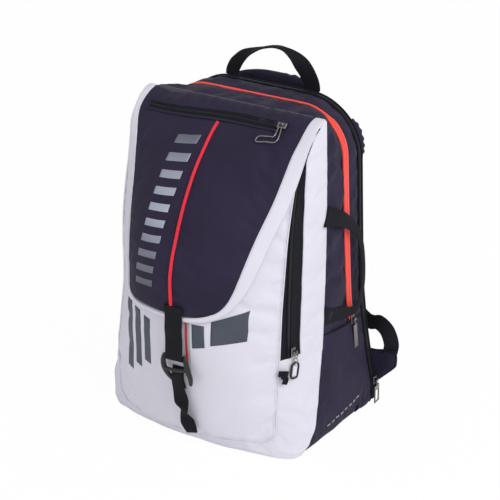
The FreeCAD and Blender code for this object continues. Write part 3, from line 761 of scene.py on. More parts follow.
def main_zip():
    """Coral two-way zip: two coated halves that meet in a groove."""
    w = MAIN_ZIP_HALF + 1.0
    halves = [(-w, -1.2), (-w + 1.5, 0.4), (-w + 3, 0.9), (-2.2, 1.3), (-0.9, 1.2), (-0.4, 0.5),
              (0.4, 0.5), (0.9, 1.2), (2.2, 1.3), (w - 3, 0.9), (w - 1.5, 0.4), (w, -1.2)]
    p = zip_ring(MAIN_ZIP, MAIN_TOP, halves)
    shown = p[:, :-1, 2] > 149.0
    piece = cloth_grid("main_zip_cloth", p, coral_tape, thickness=0.8, wrap=True, keep=shown)
    line = zip_ring(MAIN_ZIP, MAIN_TOP, [(-0.8, 0.7), (0.0, 1.0), (0.8, 0.7)])
    groove = cloth_grid("main_zip_groove", line, coral_line, 0.5, True, shown[:, :2])
    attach(groove, "shell")
    middle = ring(MAIN_ZIP, 0.0, 0.0, *MAIN_TOP)
    normals = ring_normals(middle)
    columns = [middle + np.array([0, across, 0]) - normals * 0.6 for across in (-9, -3, 3, 9)]
    backing = cloth_grid("main_zip_backing", np.stack(columns, axis=1), dark_cloth, 0.6, True)
    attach(backing, "shell")
    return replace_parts(piece, "main_zip_tape")


def rear_zip():
    """Black coil zip between two piped cloth lips."""
    w = REAR_ZIP_HALF
    tape = [(-w - 1, -1.0), (-w + 1, 0.0), (-2.0, -0.2), (2.0, -0.2), (w - 1, 0.0), (w + 1, -1.0)]
    piece = cloth_grid("rear_zip_cloth", zip_ring(REAR_ZIP, REAR_TOP, tape), black_tape, 0.8, True)
    middle = ring(REAR_ZIP, 0.0, 0.0, *REAR_TOP)
    normals = ring_normals(middle)
    path = resample(np.vstack([middle, middle[:1]]), 260)[:-1]
    for index, across in enumerate((-w + 0.6, w - 0.6)):
        centres = middle + normals * 0.5 + np.array([0, across, 0])
        centres[:, 2] = np.maximum(centres[:, 2], 1.4)
        centres = resample(np.vstack([centres, centres[:1]]), 260)[:-1]
        lip = sweep(f"rear_zip_lip_{index}", centres, Y_AXIS, tube_outline(1.3, 8), black_tape, True)
        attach(lip, "shell")
    rows = path[path[:, 2] > 30.0]
    coil = zip_coil("rear_zip_coil", rows, tiled(Y_AXIS, len(rows)), 3.2)
    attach(coil, "shell")
    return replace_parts(piece, "rear_zip_tape")


def zip_coil(name, path, sides, width, pitch=1.5):
    """Nylon coil: one small rounded rib per turn, across the path."""
    length = float(np.sum(np.linalg.norm(np.diff(path, axis=0), axis=1)))
    count = max(2, int(length / pitch))
    centres = resample(path, count)
    across = unit(resample(np.asarray(sides, float), count))
    along = unit(np.gradient(centres, axis=0))
    lift = np.cross(along, across)
    outside = np.sum(lift * (centres - np.array(BAG_CENTRE)), axis=1, keepdims=True)
    lift = np.where(outside < 0, -lift, lift)
    verts = []
    faces = []
    shape = [(-0.5, 0.0, -0.34), (-0.36, 0.75, -0.28), (0.36, 0.75, -0.28), (0.5, 0.0, -0.34),
             (-0.5, 0.0, 0.34), (-0.36, 0.75, 0.28), (0.36, 0.75, 0.28), (0.5, 0.0, 0.34)]
    box = [(0, 1, 2, 3), (7, 6, 5, 4), (1, 5, 6, 2), (0, 4, 5, 1), (3, 2, 6, 7), (0, 3, 7, 4)]
    for i in range(count):
        start = len(verts)
        for x, up, y in shape:
            verts.append(centres[i] + across[i] * x * width + lift[i] * up + along[i] * y * pitch)
        faces += [tuple(start + k for k in f) for f in box]
    return mesh_object(name, verts, faces, black_coil, np.zeros((len(verts), 2)), smooth=False)


def stitches(name, path, normals, thread):
    """Row of stitches: short rounded lengths of thread that dip into the cloth at each end."""
    pitch, length, radius = 3.9, 2.7, 0.36
    total = float(np.sum(np.linalg.norm(np.diff(path, axis=0), axis=1)))
    count = max(2, int(total / pitch))
    centres = resample(path, count)
    along = unit(np.gradient(centres, axis=0))
    up = unit(resample(np.broadcast_to(normals, np.shape(path)).astype(float), count))
    side = unit(np.cross(along, up))
    rings = [(-0.5, 0.35, -0.5), (-0.36, 0.95, 0.0), (0.36, 0.95, 0.0), (0.5, 0.35, -0.5)]
    turns = np.linspace(0, 2 * math.pi, 6, endpoint=False)
    verts = []
    faces = []
    for c, a, u, w in zip(centres, along, up, side):
        start = len(verts)
        for place, fat, dip in rings:
            for t in turns:
                verts.append(c + a * place * length + (w * math.cos(t) + u * math.sin(t)) * radius * fat
                             + u * dip * radius)
        for r in range(3):
            for k in range(6):
                beside = (k + 1) % 6
                faces.append((start + r * 6 + k, start + r * 6 + beside,
                              start + r * 6 + 6 + beside, start + r * 6 + 6 + k))
        faces.append(tuple(start + k for k in range(5, -1, -1)))
        faces.append(tuple(start + 18 + k for k in range(6)))
    return mesh_object(name, verts, faces, thread, np.zeros((len(verts), 2)))


def back_tuck(p):
    """How far the back's edges are drawn in low down, over the base's stuffed corners."""
    return 16.0 * (1 - ease((p[..., 2] - 30.0) / 120.0)) * ease(np.abs(p[..., 0]) / 120.0)


def back_rim():
    front = ring(REAR_ZIP, REAR_ZIP_HALF, 0.0, *REAR_TOP)
    rear = ring(BACK_EDGE, 2.0, 12.0, TOP, 80.0)
    rear[:, 0] -= np.sign(rear[:, 0]) * back_tuck(rear)
    p = band_points(front, rear, 10, 2.5, 0.6, 0.4, 13)
    piece = subdivide(cloth_grid("back_rim_cloth", p, dark_cloth, wrap=True))
    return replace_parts(piece, "back_rim")


# ---------------------------------------------------------------- the white front
GUSSET_TAPE_COLUMNS = 9
GUSSET_COLUMNS = 26
ZIP_FOOT = corner("gusset_zip_tape")[0][2]
PANEL_HEAD = 476.0
TAPE_REAR_Y = -64.0             # rear edge of the gusset zip at its foot, and its lean
TAPE_SLOPE = 0.049
FOOT_ROWS = 14                  # rows of the gusset along the panel's lower edge
CORNER_ROWS = 12                # and round its corner
LOW_ROWS = 18                   # and up to the foot of the zip


def panel_ring():
    """Right half of the front panel's edge, from the middle of its lower seam to the fold."""
    flat_x = PANEL_HALF - PANEL_CORNER
    x = list(np.linspace(0, flat_x, FOOT_ROWS, endpoint=False))
    z = [PANEL_FOOT] * FOOT_ROWS
    for a in np.linspace(0, math.pi / 2, CORNER_ROWS, endpoint=False):
        x.append(flat_x + PANEL_CORNER * math.sin(a))
        z.append(PANEL_FOOT + PANEL_CORNER * (1 - math.cos(a)))
    low = np.linspace(PANEL_FOOT + PANEL_CORNER, ZIP_FOOT, LOW_ROWS, endpoint=False)
    side = np.concatenate([low, np.linspace(ZIP_FOOT, PANEL_HEAD, 46)])
    x += list(PANEL_HALF + np.maximum(0.0, side - 400) * 0.11)
    z += list(side)
    return np.array(x), np.array(z)


def gusset_points():
    """Grid of the right half of the white gusset: rows along the panel's edge, columns back to
    the seam."""
    x, z = panel_ring()
    front = front_point(np.minimum(x, PANEL_HALF), z)
    front[:, 0] = x
    rows = []
    rise = PANEL_FOOT + PANEL_CORNER
    floor_x = half_width(BASE_ROUND) - BASE_TUCK
    floor_y = float(seam_y(0.0))
    for i in range(len(x)):
        if i < FOOT_ROWS:
            reach = seam_x(0.0, floor_y) * i / FOOT_ROWS * floor_x / half_width(0.0)
            back = np.array([reach, floor_y, 0.4])
            power = (2.3, 5.4)
        elif i < FOOT_ROWS + CORNER_ROWS:
            a = math.pi / 2 * (i - FOOT_ROWS) / CORNER_ROWS
            level = 0.4 + BASE_ROUND * (1 - math.cos(a))
            y = float(seam_y(level))
            back = np.array([seam_x(level, y) - BASE_TUCK * (1 - math.sin(a)), y, level])
            power = (2.3, 5.4 - 2.0 * (i - FOOT_ROWS) / CORNER_ROWS)
        else:
            level = z[i] - (rise - BASE_ROUND) * (1 - ease((z[i] - rise) / 90.0))
            y = float(seam_y(level))
            back = np.array([seam_x(level, y), y, level + 6 * ease((z[i] - 440) / 36.0)])
            extra = 1 - ease((z[i] - rise) / 110.0)
            power = (2.2 + 0.1 * extra, 2.2 + 1.2 * extra)
        tape_y = TAPE_REAR_Y + max(z[i] - ZIP_FOOT, -60.0) * TAPE_SLOPE
        share = min(max((tape_y - front[i, 1]) / (back[1] - front[i, 1]), 0.12), 0.62)
        near = np.linspace(0, 1, GUSSET_TAPE_COLUMNS) ** (1.9 if i < 20 else 1.0)
        far = np.linspace(0, 1, GUSSET_COLUMNS - GUSSET_TAPE_COLUMNS + 1)[1:]
        v = np.concatenate([near * share, share + far * (1 - share)])
        row = np.empty((len(v), 3))
        row[:, 0] = front[i, 0] + (back[0] - front[i, 0]) * (1 - (1 - v) ** power[0])
        row[:, 1] = front[i, 1] + (back[1] - front[i, 1]) * v
        row[:, 2] = front[i, 2] + (back[2] - front[i, 2]) * (1 - (1 - v) ** power[1])
        rows.append(row)
    return np.array(rows)


def gusset():
    """White gusset: one strip up the left side, under the base and up the right side."""
    right = gusset_points()
    left = (right * (-1, 1, 1))[:0:-1]
    p = lean_in(np.vstack([left, right]))
    normals = facing(grid_normals(p), p, (0, -20, 240))
    edge = from_edges(GUSSET_COLUMNS)[None, :]
    fold = ripple(p, 90.0, 21) * 1.1 * ease(edge / 4.0)
    from_seam = np.arange(GUSSET_COLUMNS)[::-1][None, :]
    lap = 0.8 * ease((6.0 - from_seam) / 6.0) * ease((p[..., 2] - 120.0) / 60.0)
    p = p + normals * (fold + lap)[..., None]
    p[..., 2] = np.maximum(p[..., 2], 0.3)
    rows = len(p)
    keep = np.ones((rows, GUSSET_COLUMNS), bool)
    first = len(left) + FOOT_ROWS + CORNER_ROWS + LOW_ROWS
    keep[first:, :GUSSET_TAPE_COLUMNS - 1] = False
    still = low_rows(p)
    still[first - 1:, :GUSSET_TAPE_COLUMNS] = True
    slack = (0.03, 5.0, 2.5, still)
    piece = cloth_grid("gusset_cloth", p, white_cloth, 1.6, False, keep, (0, -20, 240), slack)
    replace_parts(subdivide(piece), "gusset_right", "gusset_left", "base_front")
    gusset_zip(p[first:], normals[first:])
    panel_welt(p[:, 0], normals[:, 0])
    return piece


def gusset_zip(p, normals):
    """Black zip tape in the right gusset, with its coil and a folded lip over the white cloth."""
    last = GUSSET_TAPE_COLUMNS
    tape = p[:, :last] - normals[:, :last] * 1.2
    piece = cloth_grid("gusset_zip_cloth", tape, black_tape, 0.8, inside=(0, -20, 240))
    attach(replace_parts(piece, "gusset_zip_tape"), "shell")
    lengths = np.linspace(0.42, 0.14, len(p))
    line = []
    for row, share in zip(tape, lengths):
        place = share * (last - 1)
        low = int(place)
        line.append(row[low] + (row[low + 1] - row[low]) * (place - low))
    line = np.array(line) + normals[:, 2] * 0.6
    sides = unit(tape[:, 4] - tape[:, 1])
    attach(zip_coil("gusset_coil", line, sides, 4.2, 1.7), "shell")
    for index, shift in enumerate((-3.4, 3.4)):
        centres = line + sides * shift
        ridge = sweep(f"gusset_zip_ridge_{index}", centres, sides, tube_outline(0.8, 6), black_tape)
        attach(ridge, "shell")
    hem = p[:, last - 1] + normals[:, last - 1] * 0.2
    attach(sweep("gusset_zip_hem", hem, sides, tube_outline(1.2, 8), white_cloth), "shell")


def panel_welt(edge, normals):
    """Thin welt in the seam round the front panel."""
    path = edge - normals * 0.3
    sides = np.cross(normals, unit(np.gradient(path, axis=0)))
    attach(sweep("panel_welt", path, sides, tube_outline(1.1, 8), white_cloth), "shell")
    line = path + sides * 3.4 + normals * 0.7
    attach(stitches("panel_welt_stitches", line, normals, white_thread), "shell")


def front_panel():
    """White front pocket: crowned, with rounded lower corners and soft creases."""
    rows = []
    crowding = math.pi / 2 * 0.97           # columns stand closer together near the side seams
    flat = PANEL_HALF - PANEL_CORNER
    low = PANEL_FOOT + PANEL_CORNER * (1 - np.cos(np.linspace(0, math.pi / 2, 10, endpoint=False)))
    heights = np.concatenate([low, np.linspace(PANEL_FOOT + PANEL_CORNER, 448, 84)])
    for z in heights:
        drop = max(0.0, PANEL_FOOT + PANEL_CORNER - z)
        reach = flat + math.sqrt(max(PANEL_CORNER ** 2 - drop ** 2, 0.0))
        x = np.sin(np.linspace(-1, 1, 61) * crowding) / math.sin(crowding) * reach
        rows.append(front_point(x, z))
    p = lean_in(np.array(rows))
    normals = facing(grid_normals(p), p, (0, 100, 200))
    across = from_edges(61)[None, :]
    down = np.minimum(np.arange(len(p)), 40)[:, None]
    edge = ease(np.minimum(across, down) / 7.0)
    p = p + normals * (ripple(p, 120.0, 31) * 1.6 * edge + 1.0 * edge - 0.6)[..., None]
    piece = cloth_grid("front_panel_cloth", p, white_cloth, 1.6, slack=(0.035, 4.0, 3.5, None))
    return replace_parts(subdivide(piece), "front_panel")


# ---------------------------------------------------------------- the flap
def flap_reach(outline):
    return profile(sorted((z, x) for x, z in outline))


def flap_cloth():
    reach = flap_reach(FLAP_DARK)
    left_reach = flap_reach([(-x, z) for x, z in FLAP_DARK_LEFT[:-1]] + [(0, 212.0)])
    t = np.linspace(0, 1, 90)
    heights = TOP - (TOP - 215.8) * t ** 1.35
    rows = []
    for z in heights:
        side = float(reach(min(z, 484.0))) + 2.0
        other = float(left_reach(min(z, 484.0))) + 2.0
        across = np.concatenate([np.linspace(-other, 0, 29), np.linspace(0, side, 29)[1:]])
        rows.append(flap_point(across, z))
    p = np.array(rows)
    normals = facing(grid_normals(p), p, (0, 60, 200))
    across = from_edges(57)[None, :]
    edge = ease(across / 6.0)
    pleats = 0.7 * np.sin(p[..., 0] / 3.1 + 1.8 * np.sin(p[..., 0] / 21.0))
    pleats = pleats * ease((p[..., 2] - 468) / 9.0)
    p = p + normals * (ripple(p, 110.0, 41) * 0.8 * edge + 0.3 + pleats)[..., None]
    dip_left(p)
    middle = np.zeros(p.shape[:2], bool)
    middle[:, 27:30] = True
    middle[p[..., 2] > 455] = True
    piece = cloth_grid("flap_cloth", p, dark_cloth, 1.8, slack=(0.03, 3.0, 2.2, middle))
    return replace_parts(subdivide(piece), "flap_panel", "flap_lining")


def flap_binding():
    """White edge tape with a rolled outer edge."""
    outer = smooth_path(FLAP_OUTER + FLAP_OUTER_LEFT[::-1], 221)
    inner = smooth_path(FLAP_DARK + FLAP_DARK_LEFT[::-1], 221)
    shares = [0.0, 0.04, 0.12, 0.3, 0.5, 0.7, 0.88, 0.96, 1.0]
    lifts = [-0.6, 0.9, 1.5, 1.7, 1.8, 1.7, 1.5, 1.0, 0.2]
    rows = []
    for far, near in zip(outer, inner):
        spots = [far + (near - far) * s for s in shares]
        rows.append([flap_point(x, min(z, TOP)) for x, z in spots])
    p = np.array(rows)
    normals = facing(grid_normals(p), p, (0, 60, 200))
    pucker = ripple(p, 26.0, 51) * 0.5 * np.array([0, 1, 1, 1, 1, 1, 1, 1, 0])
    p = p + normals * (np.array(lifts)[None, :] + pucker)[..., None]
    for index, column in enumerate((1, 6)):
        line = p[:, column] + normals[:, column] * 0.25
        row = stitches(f"flap_binding_stitches_{index}", line[3:-3], normals[3:-3, column], white_thread)
        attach(row, "flap")
    piece = subdivide(cloth_grid("flap_binding_cloth", p, white_cloth, 3.4))
    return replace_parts(piece, "flap_binding")


def on_flap(points, lift):
    """Points (x, z) laid on the flap's face, lifted off it."""
    points = np.asarray(points, float)
    at = flap_point(points[:, 0], points[:, 1])
    x, z = points[:, 0], points[:, 1]
    side = flap_point(x + 0.5, z) - flap_point(x - 0.5, z)
    up = flap_point(x, z + 0.5) - flap_point(x, z - 0.5)
    return at + unit(np.cross(side, up)) * lift


def flap_piping():
    path = on_flap([(2.0, z) for z in np.linspace(464, 213, 80)], 1.2)
    piece = sweep("flap_piping_cloth", path, X_AXIS, tube_outline(2.3, 12), red_piping)
    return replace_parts(piece, "flap_piping")


def flap_zip():
    low, high = corner("flap_zip_tape")
    left, right = low[0], high[0]
    height = (low[2] + high[2]) / 2

    def line(x):
        return height - 1.0 - 5.0 * ease((30.0 - x) / 130.0)

    tape = np.array([on_flap([(x, line(x) + s) for s in (-6, -3, 0, 3, 6)], 0.9)
                     for x in np.linspace(left, right, 60)])
    piece = cloth_grid("flap_zip_cloth", tape, black_tape, 0.8, inside=(0, 60, 200))
    sides = tiled((0.0, 0.7, 0.7), 90)
    for index, shift in enumerate((-4.6, 4.6)):
        path = on_flap([(x, line(x) + shift) for x in np.linspace(left - 2, right + 2, 90)], 1.2)
        lip = sweep(f"flap_zip_lip_{index}", path, sides, strap_outline(3.4, 1.7), dark_cloth)
        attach(lip, "flap")
    path = on_flap([(x, line(x)) for x in np.linspace(left, right, 90)], 1.0)
    coil = zip_coil("flap_zip_coil", path, sides, 3.0)
    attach(coil, "flap")
    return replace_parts(piece, "flap_zip_tape")


def flap_strap():
    """Webbing down the front, whose end is turned round the hook's top bar."""
    top = on_flap([(STRAP_X, z) for z in (232, 222, 212)], 3.0)
    rest = np.array([(0, -170.0, 196), (0, -168.5, 180), (0.5, -169.2, 165), (0.5, -169.8, 152),
                     (0.5, -168.6, 147.9), (0.5, -165, 146.2), (0.5, -161.4, 148)])
    path = smooth_path(np.vstack([top, rest + (STRAP_X, 0, 0)]), 60)
    width = corner("flap_webbing")[1][0] - corner("flap_webbing")[0][0]
    piece = sweep("flap_strap_webbing", path, (1.0, 0.0, 0.06), strap_outline(width, 1.9), webbing)
    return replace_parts(piece, "flap_webbing")


# ---------------------------------------------------------------- straps, handles and small parts
def top_handle():
    """Webbing loop: flat legs, and a folded grip that slopes down to the left."""
    y = float(np.mean([corner("top_handle")[0][1], corner("top_handle")[1][1]]))
    foot = corner("top_handle")[0][2]
    path = [(-69, 0), (-68, 8), (-61, 21), (-45, 36), (-12, 50.5), (12, 54), (33, 47), (51, 32),
            (62, 17), (66, 7), (66.5, 0)]
    points = [(x, y, foot + 0.5 + rise) for x, rise in path]
    across = [(-1, 0, 0), (-1, 0, 0), (-0.9, 0.3, 0.4), (-0.4, 0.8, 0.3), (0, 1, 0), (0, 1, 0),
              (0.1, 1, 0.1), (0.5, 0.8, 0.4), (0.9, 0.2, 0.4), (1, 0, 0), (1, 0, 0)]
    widths = [22, 21, 18, 15, 13, 12, 12, 17, 24, 26, 26]
    return webbing_strip("top_handle_webbing", points, across, widths, 2.6, "top_handle", 120)


def webbing_strip(name, points, across, widths, thickness, node, count=70):
    """Webbing along a path; its direction across and its width run through the given values."""
    centres = smooth_path(points, count)
    places = np.linspace(0, len(across) - 1, count)
    sides = np.stack([np.interp(places, range(len(across)), [a[k] for a in across]) for k in range(3)], 1)
    spots = np.linspace(0, len(widths) - 1, count)
    outlines = np.array([strap_outline(np.interp(s, range(len(widths)), widths), thickness) for s in spots])
    piece = sweep(name, centres, sides, outlines, webbing)
    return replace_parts(piece, node)


def side_handle():
    """Grab handle on the right: two tapered tabs sewn at the seam, and a bow behind them."""
    points = [(152.5, -8, 343), (158.5, 25, 330), (162, 61, 304), (164, 77, 276), (165, 85, 232),
              (165, 83, 196), (163.5, 70, 175), (159, 38, 179), (153.5, -8, 190)]
    across = [(0, 0.3, 1), (0, 0.35, 1), (0, 0.7, 0.8), (0, 1, 0.35), (0, 1, 0), (0, 1, -0.35),
              (0, 0.5, -1), (0, -0.1, -1), (0, -0.15, -1)]
    return webbing_strip("side_handle_webbing", points, across, [30, 23, 15, 12, 12, 12, 14, 20, 29], 2.0,
                         "side_handle")


def strap_tail():
    points = [(11, -166, 132), (11, -168.5, 124), (10.5, -166, 112), (11, -161, 92), (14, -158.5, 71),
              (19, -155.5, 50), (26, -152.5, 30)]
    across = [(1, 0, 0.1), (1, 0, 0.1), (1, 0.1, 0), (0.8, 0.4, 0), (0.8, -0.45, 0), (0.9, 0.35, 0.1),
              (0.95, 0, -0.25)]
    return webbing_strip("strap_tail_webbing", points, across, [19, 20, 21, 21], 1.7, "webbing_tail")


def hook():
    """Moulded side-arm hook: two splayed arms, a top bar the strap turns round and a crossbar."""
    def put(name, points):
        path = smooth_path(points, 40)
        ends = np.sin(np.linspace(0.16, math.pi - 0.16, 40)) ** 0.3
        outlines = np.array([padded_outline(7.5 * e, 6.0 * e, 24) for e in ends])
        return sweep(name, path, (1.0, 0.0, 0.12), outlines, buckle_plastic)

    left = put("hook_arm_left", [(-12, -166, 152), (-14, -166, 142), (-12, -166, 131), (-6, -165, 121),
                                 (0, -163, 113)])
    right = put("hook_arm_right", [(21, -166, 156), (24.5, -166, 146), (28, -166, 134), (31.5, -165, 123),
                                   (31, -163, 112)])
    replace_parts(left, "hook_buckle")
    pieces = [left, right]
    bars = (("hook_top_bar", [(-13, -165, 150.7), (4, -165, 151), (22, -165, 151.3)], 2.2),
            ("hook_crossbar", [(-11, -166.5, 130), (8, -168, 131.5), (27, -166.5, 135)], 2.7))
    for name, ends, radius in bars:
        path = smooth_path(ends, 30)
        pieces.append(sweep(name, path, Y_AXIS, tube_outline(radius, 14), buckle_plastic))
    for piece in pieces:
        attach(piece, "hook")


def side_pockets():
    """Dark pocket low on each side, from seam to seam, with a slack bound mouth."""
    share = np.linspace(0, 1, 40)
    for side, name in SIDES:
        rows = []
        for t in np.linspace(0, 1, 44):
            level = 14.0 + (POCKET_MOUTH + 4.0 - 14.0) * t
            front = float(seam_y(level)) + 1.0
            rear = REAR_ZIP[0] + REAR_ZIP[1] * (TOP - level) - REAR_ZIP_HALF - 2.0
            y = front + (rear - front) * share
            z = level - (9.0 * share + 3.0 * np.sin(math.pi * share)) * t ** 2
            proud = 2.6 * np.sin(math.pi * share) ** 0.35 * ease(t * 3 + 0.1) - 0.4
            x = seam_x(z, y) + proud - 1.5 * np.maximum(0.0, 1 - t * 5) ** 2
            rows.append(np.stack([side * x, y, z], 1))
        p = lean_in(np.array(rows))
        normals = facing(grid_normals(p), p, (0, 40, 100))
        edge = from_edges(40)[None, :]
        p = p + normals * (ripple(p, 75.0, 63 + side) * 0.9 * ease(edge / 5.0))[..., None]
        cloth = cloth_grid(f"side_pocket_{name}_cloth", p, dark_cloth, 1.4, inside=(0, 40, 100),
                           slack=(0.02, 3.0, 1.6, low_rows(p)))
        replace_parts(subdivide(cloth), f"side_pocket_{name}")
        if side == 1:
            side_dashes(cloth)
        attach(cloth, "shell")
        hem = p[-1] + normals[-1] * 0.2
        binding = sweep(f"side_pocket_{name}_hem", hem, normals[-1], tube_outline(1.2, 10), black_tape)
        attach(binding, "shell")
        line = p[-3] + normals[-3] * 0.5
        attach(stitches(f"side_pocket_{name}_stitches", line, normals[-3], dark_thread), "shell")


def strap_wings():
    """Stuffed cloth triangles that carry the lower webbing, edged with a bound seam."""
    for side, name in SIDES:
        low, high = corner(f"strap_wing_{name}")
        y = float(np.mean([low[1], high[1]]))
        outline = [(156, 32), (165, 25), (172, 31), (188, 47), (202, 62), (204, 68), (204, 80), (201, 86),
                   (188, 87), (170, 83), (153, 79), (152, 56)]
        rim = smooth_path(outline, 96, closed=True)[:-1]
        middle = rim.mean(0)
        rows = []
        for t in np.linspace(0.0, 1.0, 12):
            spread = math.sin(math.pi / 2 * t)
            lift = 5.5 * math.cos(math.pi / 2 * t) ** 0.8
            spots = middle + (rim - middle) * spread
            rows.append(np.stack([side * spots[:, 0], np.full(len(rim), y) - lift, spots[:, 1]], 1))
        front = np.array(rows)
        rear = front.copy()
        rear[..., 1] = 2 * y - front[..., 1]
        p = np.vstack([front, rear[::-1][1:]])
        p = np.concatenate([p, p[:, :1]], axis=1)
        p = p + (0, 1, 0) * (ripple(p, 40.0, 71) * 0.8)[..., None]
        heart = (side * middle[0], y, middle[1])
        wing = cloth_grid(f"strap_wing_{name}_cloth", p, dark_cloth, 0.6, inside=heart)
        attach(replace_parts(subdivide(wing), f"strap_wing_{name}"), "shell")
        edge = np.stack([side * rim[:, 0], np.full(len(rim), y), rim[:, 1]], 1)
        section = strap_outline(5.0, 2.0)
        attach(sweep(f"strap_wing_{name}_binding", edge, Y_AXIS, section, black_tape, True), "shell")


def back_panel():
    """Padded mesh back: two pads either side of a channel, crossed by shallow grooves."""
    inset = 12.0
    shoulder = TOP - 80.0
    turn = 80.0 - inset
    rows = []
    for z in np.linspace(inset + 1, TOP - inset - 1, 110):
        reach = float(half_width(min(z, shoulder))) - inset
        if z > shoulder:
            reach += math.sqrt(max(turn ** 2 - (z - shoulder) ** 2, 0.0)) - turn
        foot = max(0.0, 1 - (z - inset) / 14.0)
        reach -= 8.0 * foot ** 2
        x = np.linspace(-reach, reach, 81)
        share = np.abs(x) / reach
        rim = (1 - share ** 8) * ease((z - inset) / 12.0) * ease((TOP - inset - z) / 12.0)
        grooves = 5.0 * np.exp(-(x / 8.0) ** 2)
        for height in (110.0, 235.0, 360.0):
            slant = z - height - 0.12 * np.abs(x)
            grooves = grooves + 3.0 * np.exp(-(slant / 5.0) ** 2)
        y = BACK_EDGE[0] + 2.0 + BACK_EDGE[1] * (TOP - z) + rim * (6.5 - grooves)
        rows.append(np.stack([x, y, np.full(81, z)], 1))
    p = np.array(rows)
    p[..., 0] -= np.sign(p[..., 0]) * back_tuck(p)
    p = p + (0, 1, 0) * (ripple(p, 60.0, 81) * 0.5)[..., None]
    piece = subdivide(cloth_grid("back_panel_mesh", p, back_mesh, 1.5, inside=(0, 0, 240)))
    edge = ring(BACK_EDGE, 2.4, inset, TOP, 80.0)
    edge[:, 0] -= np.sign(edge[:, 0]) * back_tuck(edge)
    binding = sweep("back_panel_binding", edge, Y_AXIS, tube_outline(2.0, 10), black_tape, True)
    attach(binding, "shell")
    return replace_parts(piece, "back_panel")


def padded_outline(width, thickness, sides=32):
    """Section with rounded corners and slightly crowned faces, for padding and moulded arms."""
    a = np.linspace(0, 2 * math.pi, sides, endpoint=False)
    x = width / 2 * np.sign(np.cos(a)) * np.abs(np.cos(a)) ** 0.55
    y = thickness / 2 * np.sign(np.sin(a)) * np.abs(np.sin(a)) ** 0.75
    return np.stack([x, y], axis=1)


def shoulder_straps():
    """Padded straps: cloth outside, mesh inside, bound edges, and webbing sewn down the middle."""
    for side, name in SIDES:
        body = f"strap_{name}"
        knots = np.array([(50, 122, 448), (54, 136, 400), (64, 160, 340), (78, 172, 280), (90, 172, 225),
                          (97, 166, 189)], float) * (side, 1, 1)
        path = smooth_path(knots, 90)
        across = tiled(X_AXIS, 90)
        widths = np.interp(np.linspace(0, 1, 90), [0, 0.1, 0.5, 0.9, 1], [62, 60, 57, 50, 40])
        outlines = np.array([padded_outline(w, 11.0) for w in widths])
        pad = sweep(f"shoulder_strap_{name}_cloth", path, across, outlines, dark_cloth)
        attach(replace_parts(subdivide(pad), f"shoulder_strap_{name}"), body)
        lift = np.cross(unit(np.gradient(path, axis=0)), across)
        inner = np.array([padded_outline(w - 9.0, 2.4) for w in widths])
        mesh = sweep(f"shoulder_strap_{name}_mesh", path + lift * 5.2, across, inner, back_mesh)
        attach(mesh, body)
        for index, edge in enumerate((-1, 1)):
            line = path + across * (widths[:, None] / 2 - 0.4) * edge
            binding = sweep(f"shoulder_strap_{name}_edge_{index}", line, across, tube_outline(2.1, 10),
                            black_tape)
            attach(binding, body)
        end = np.array([(97.5 * side, 168.0, 184.0), (97.5 * side, 165.0, 179.0)])
        line = smooth_path(np.vstack([(path - lift * 6.4)[4::9], end]), 90)
        section = strap_outline(25.0, 1.6)
        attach(sweep(f"shoulder_strap_{name}_webbing", line, across, section, webbing), body)
        for index, edge in enumerate((-10.5, 10.5)):
            seam = line[:76] + across[:76] * edge - lift[:76] * 0.9
            row = stitches(f"shoulder_strap_{name}_stitches_{index}", seam, -lift[:76], dark_thread)
            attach(row, body)


def strap_yoke():
    """Soft gathered hump behind the top handle, where the shoulder straps are sewn in."""
    low, high = corner("strap_yoke")
    count = 90
    x = np.linspace(low[0] - 22.0, high[0], count)
    t = np.linspace(-1, 1, count)
    taper = (1 - np.abs(t) ** 6) ** 0.5 * (0.72 + 0.28 * ease((t + 1.0) / 0.8))
    fat = taper * (1 + 0.07 * np.sin(x / 2.4) * ease(t * 1.8)) + 0.05
    middle = (low[2] + high[2]) / 2 + 1.0 + 1.5 * np.cos(t * 2.0)
    centres = np.stack([x, np.full(count, (low[1] + high[1]) / 2), middle], 1)
    base = padded_outline(high[1] - low[1], high[2] - low[2] + 2.0, 28)
    outlines = fat[:, None, None] * base
    piece = sweep("strap_yoke_cloth", centres, Y_AXIS, outlines, dark_cloth)
    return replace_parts(subdivide(piece), "strap_yoke")


def lower_webbings():
    """Adjusting webbing from each wing, up and round behind the bag to the ladder lock. Its far end
    follows the shoulder strap."""
    knots = np.array([(192, 133, 82), (193, 134, 98), (183.5, 137, 116), (167, 141, 124),
                      (153, 146, 119), (138, 153, 118), (116, 162, 127), (99, 165, 145)], float)
    across = np.array([(0.8, 0.5, 0), (0.8, 0.5, 0), (0.6, 0.5, 0.6), (0.1, 0.5, 0.85),
                       (0.1, 0.5, 0.85), (0.3, 0.5, 0.7), (0.6, 0.4, 0.4), (0.9, 0.1, 0.1)])
    for side, name in SIDES:
        strip = webbing_strip(f"lower_webbing_{name}_strip", knots * (side, 1, 1), across * (side, 1, 1),
                              [23, 22], 1.8, f"lower_webbing_{name}")
        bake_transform(strip)


def hook_loop():
    points = [(STRAP_X, -152.5, 98), (STRAP_X, -155.5, 106), (STRAP_X, -158.5, 116),
              (STRAP_X, -158.5, 124), (STRAP_X, -156.5, 134)]
    return webbing_strip("hook_loop_strip", points, [(1, 0, 0), (1, 0, 0)], [20, 20], 1.4, "hook_loop", 24)


# ---------------------------------------------------------------- prints and small rows of stitches
def laid(points, sheets, toward, lift):
    """Points moved along a direction on to the nearest of some finished sheets, and lifted off it."""
    spots = []
    for point in points.reshape(-1, 3):
        best = None
        for tree in sheets:
            hit, _, _, distance = tree.ray_cast(Vector(point * MM), Vector(toward))
            if hit is not None and (best is None or distance < best[1]):
                best = (np.array(hit) / MM, distance)
        spots.append((best[0] if best else point) - lift * np.array(toward))
    return np.array(spots).reshape(points.shape)


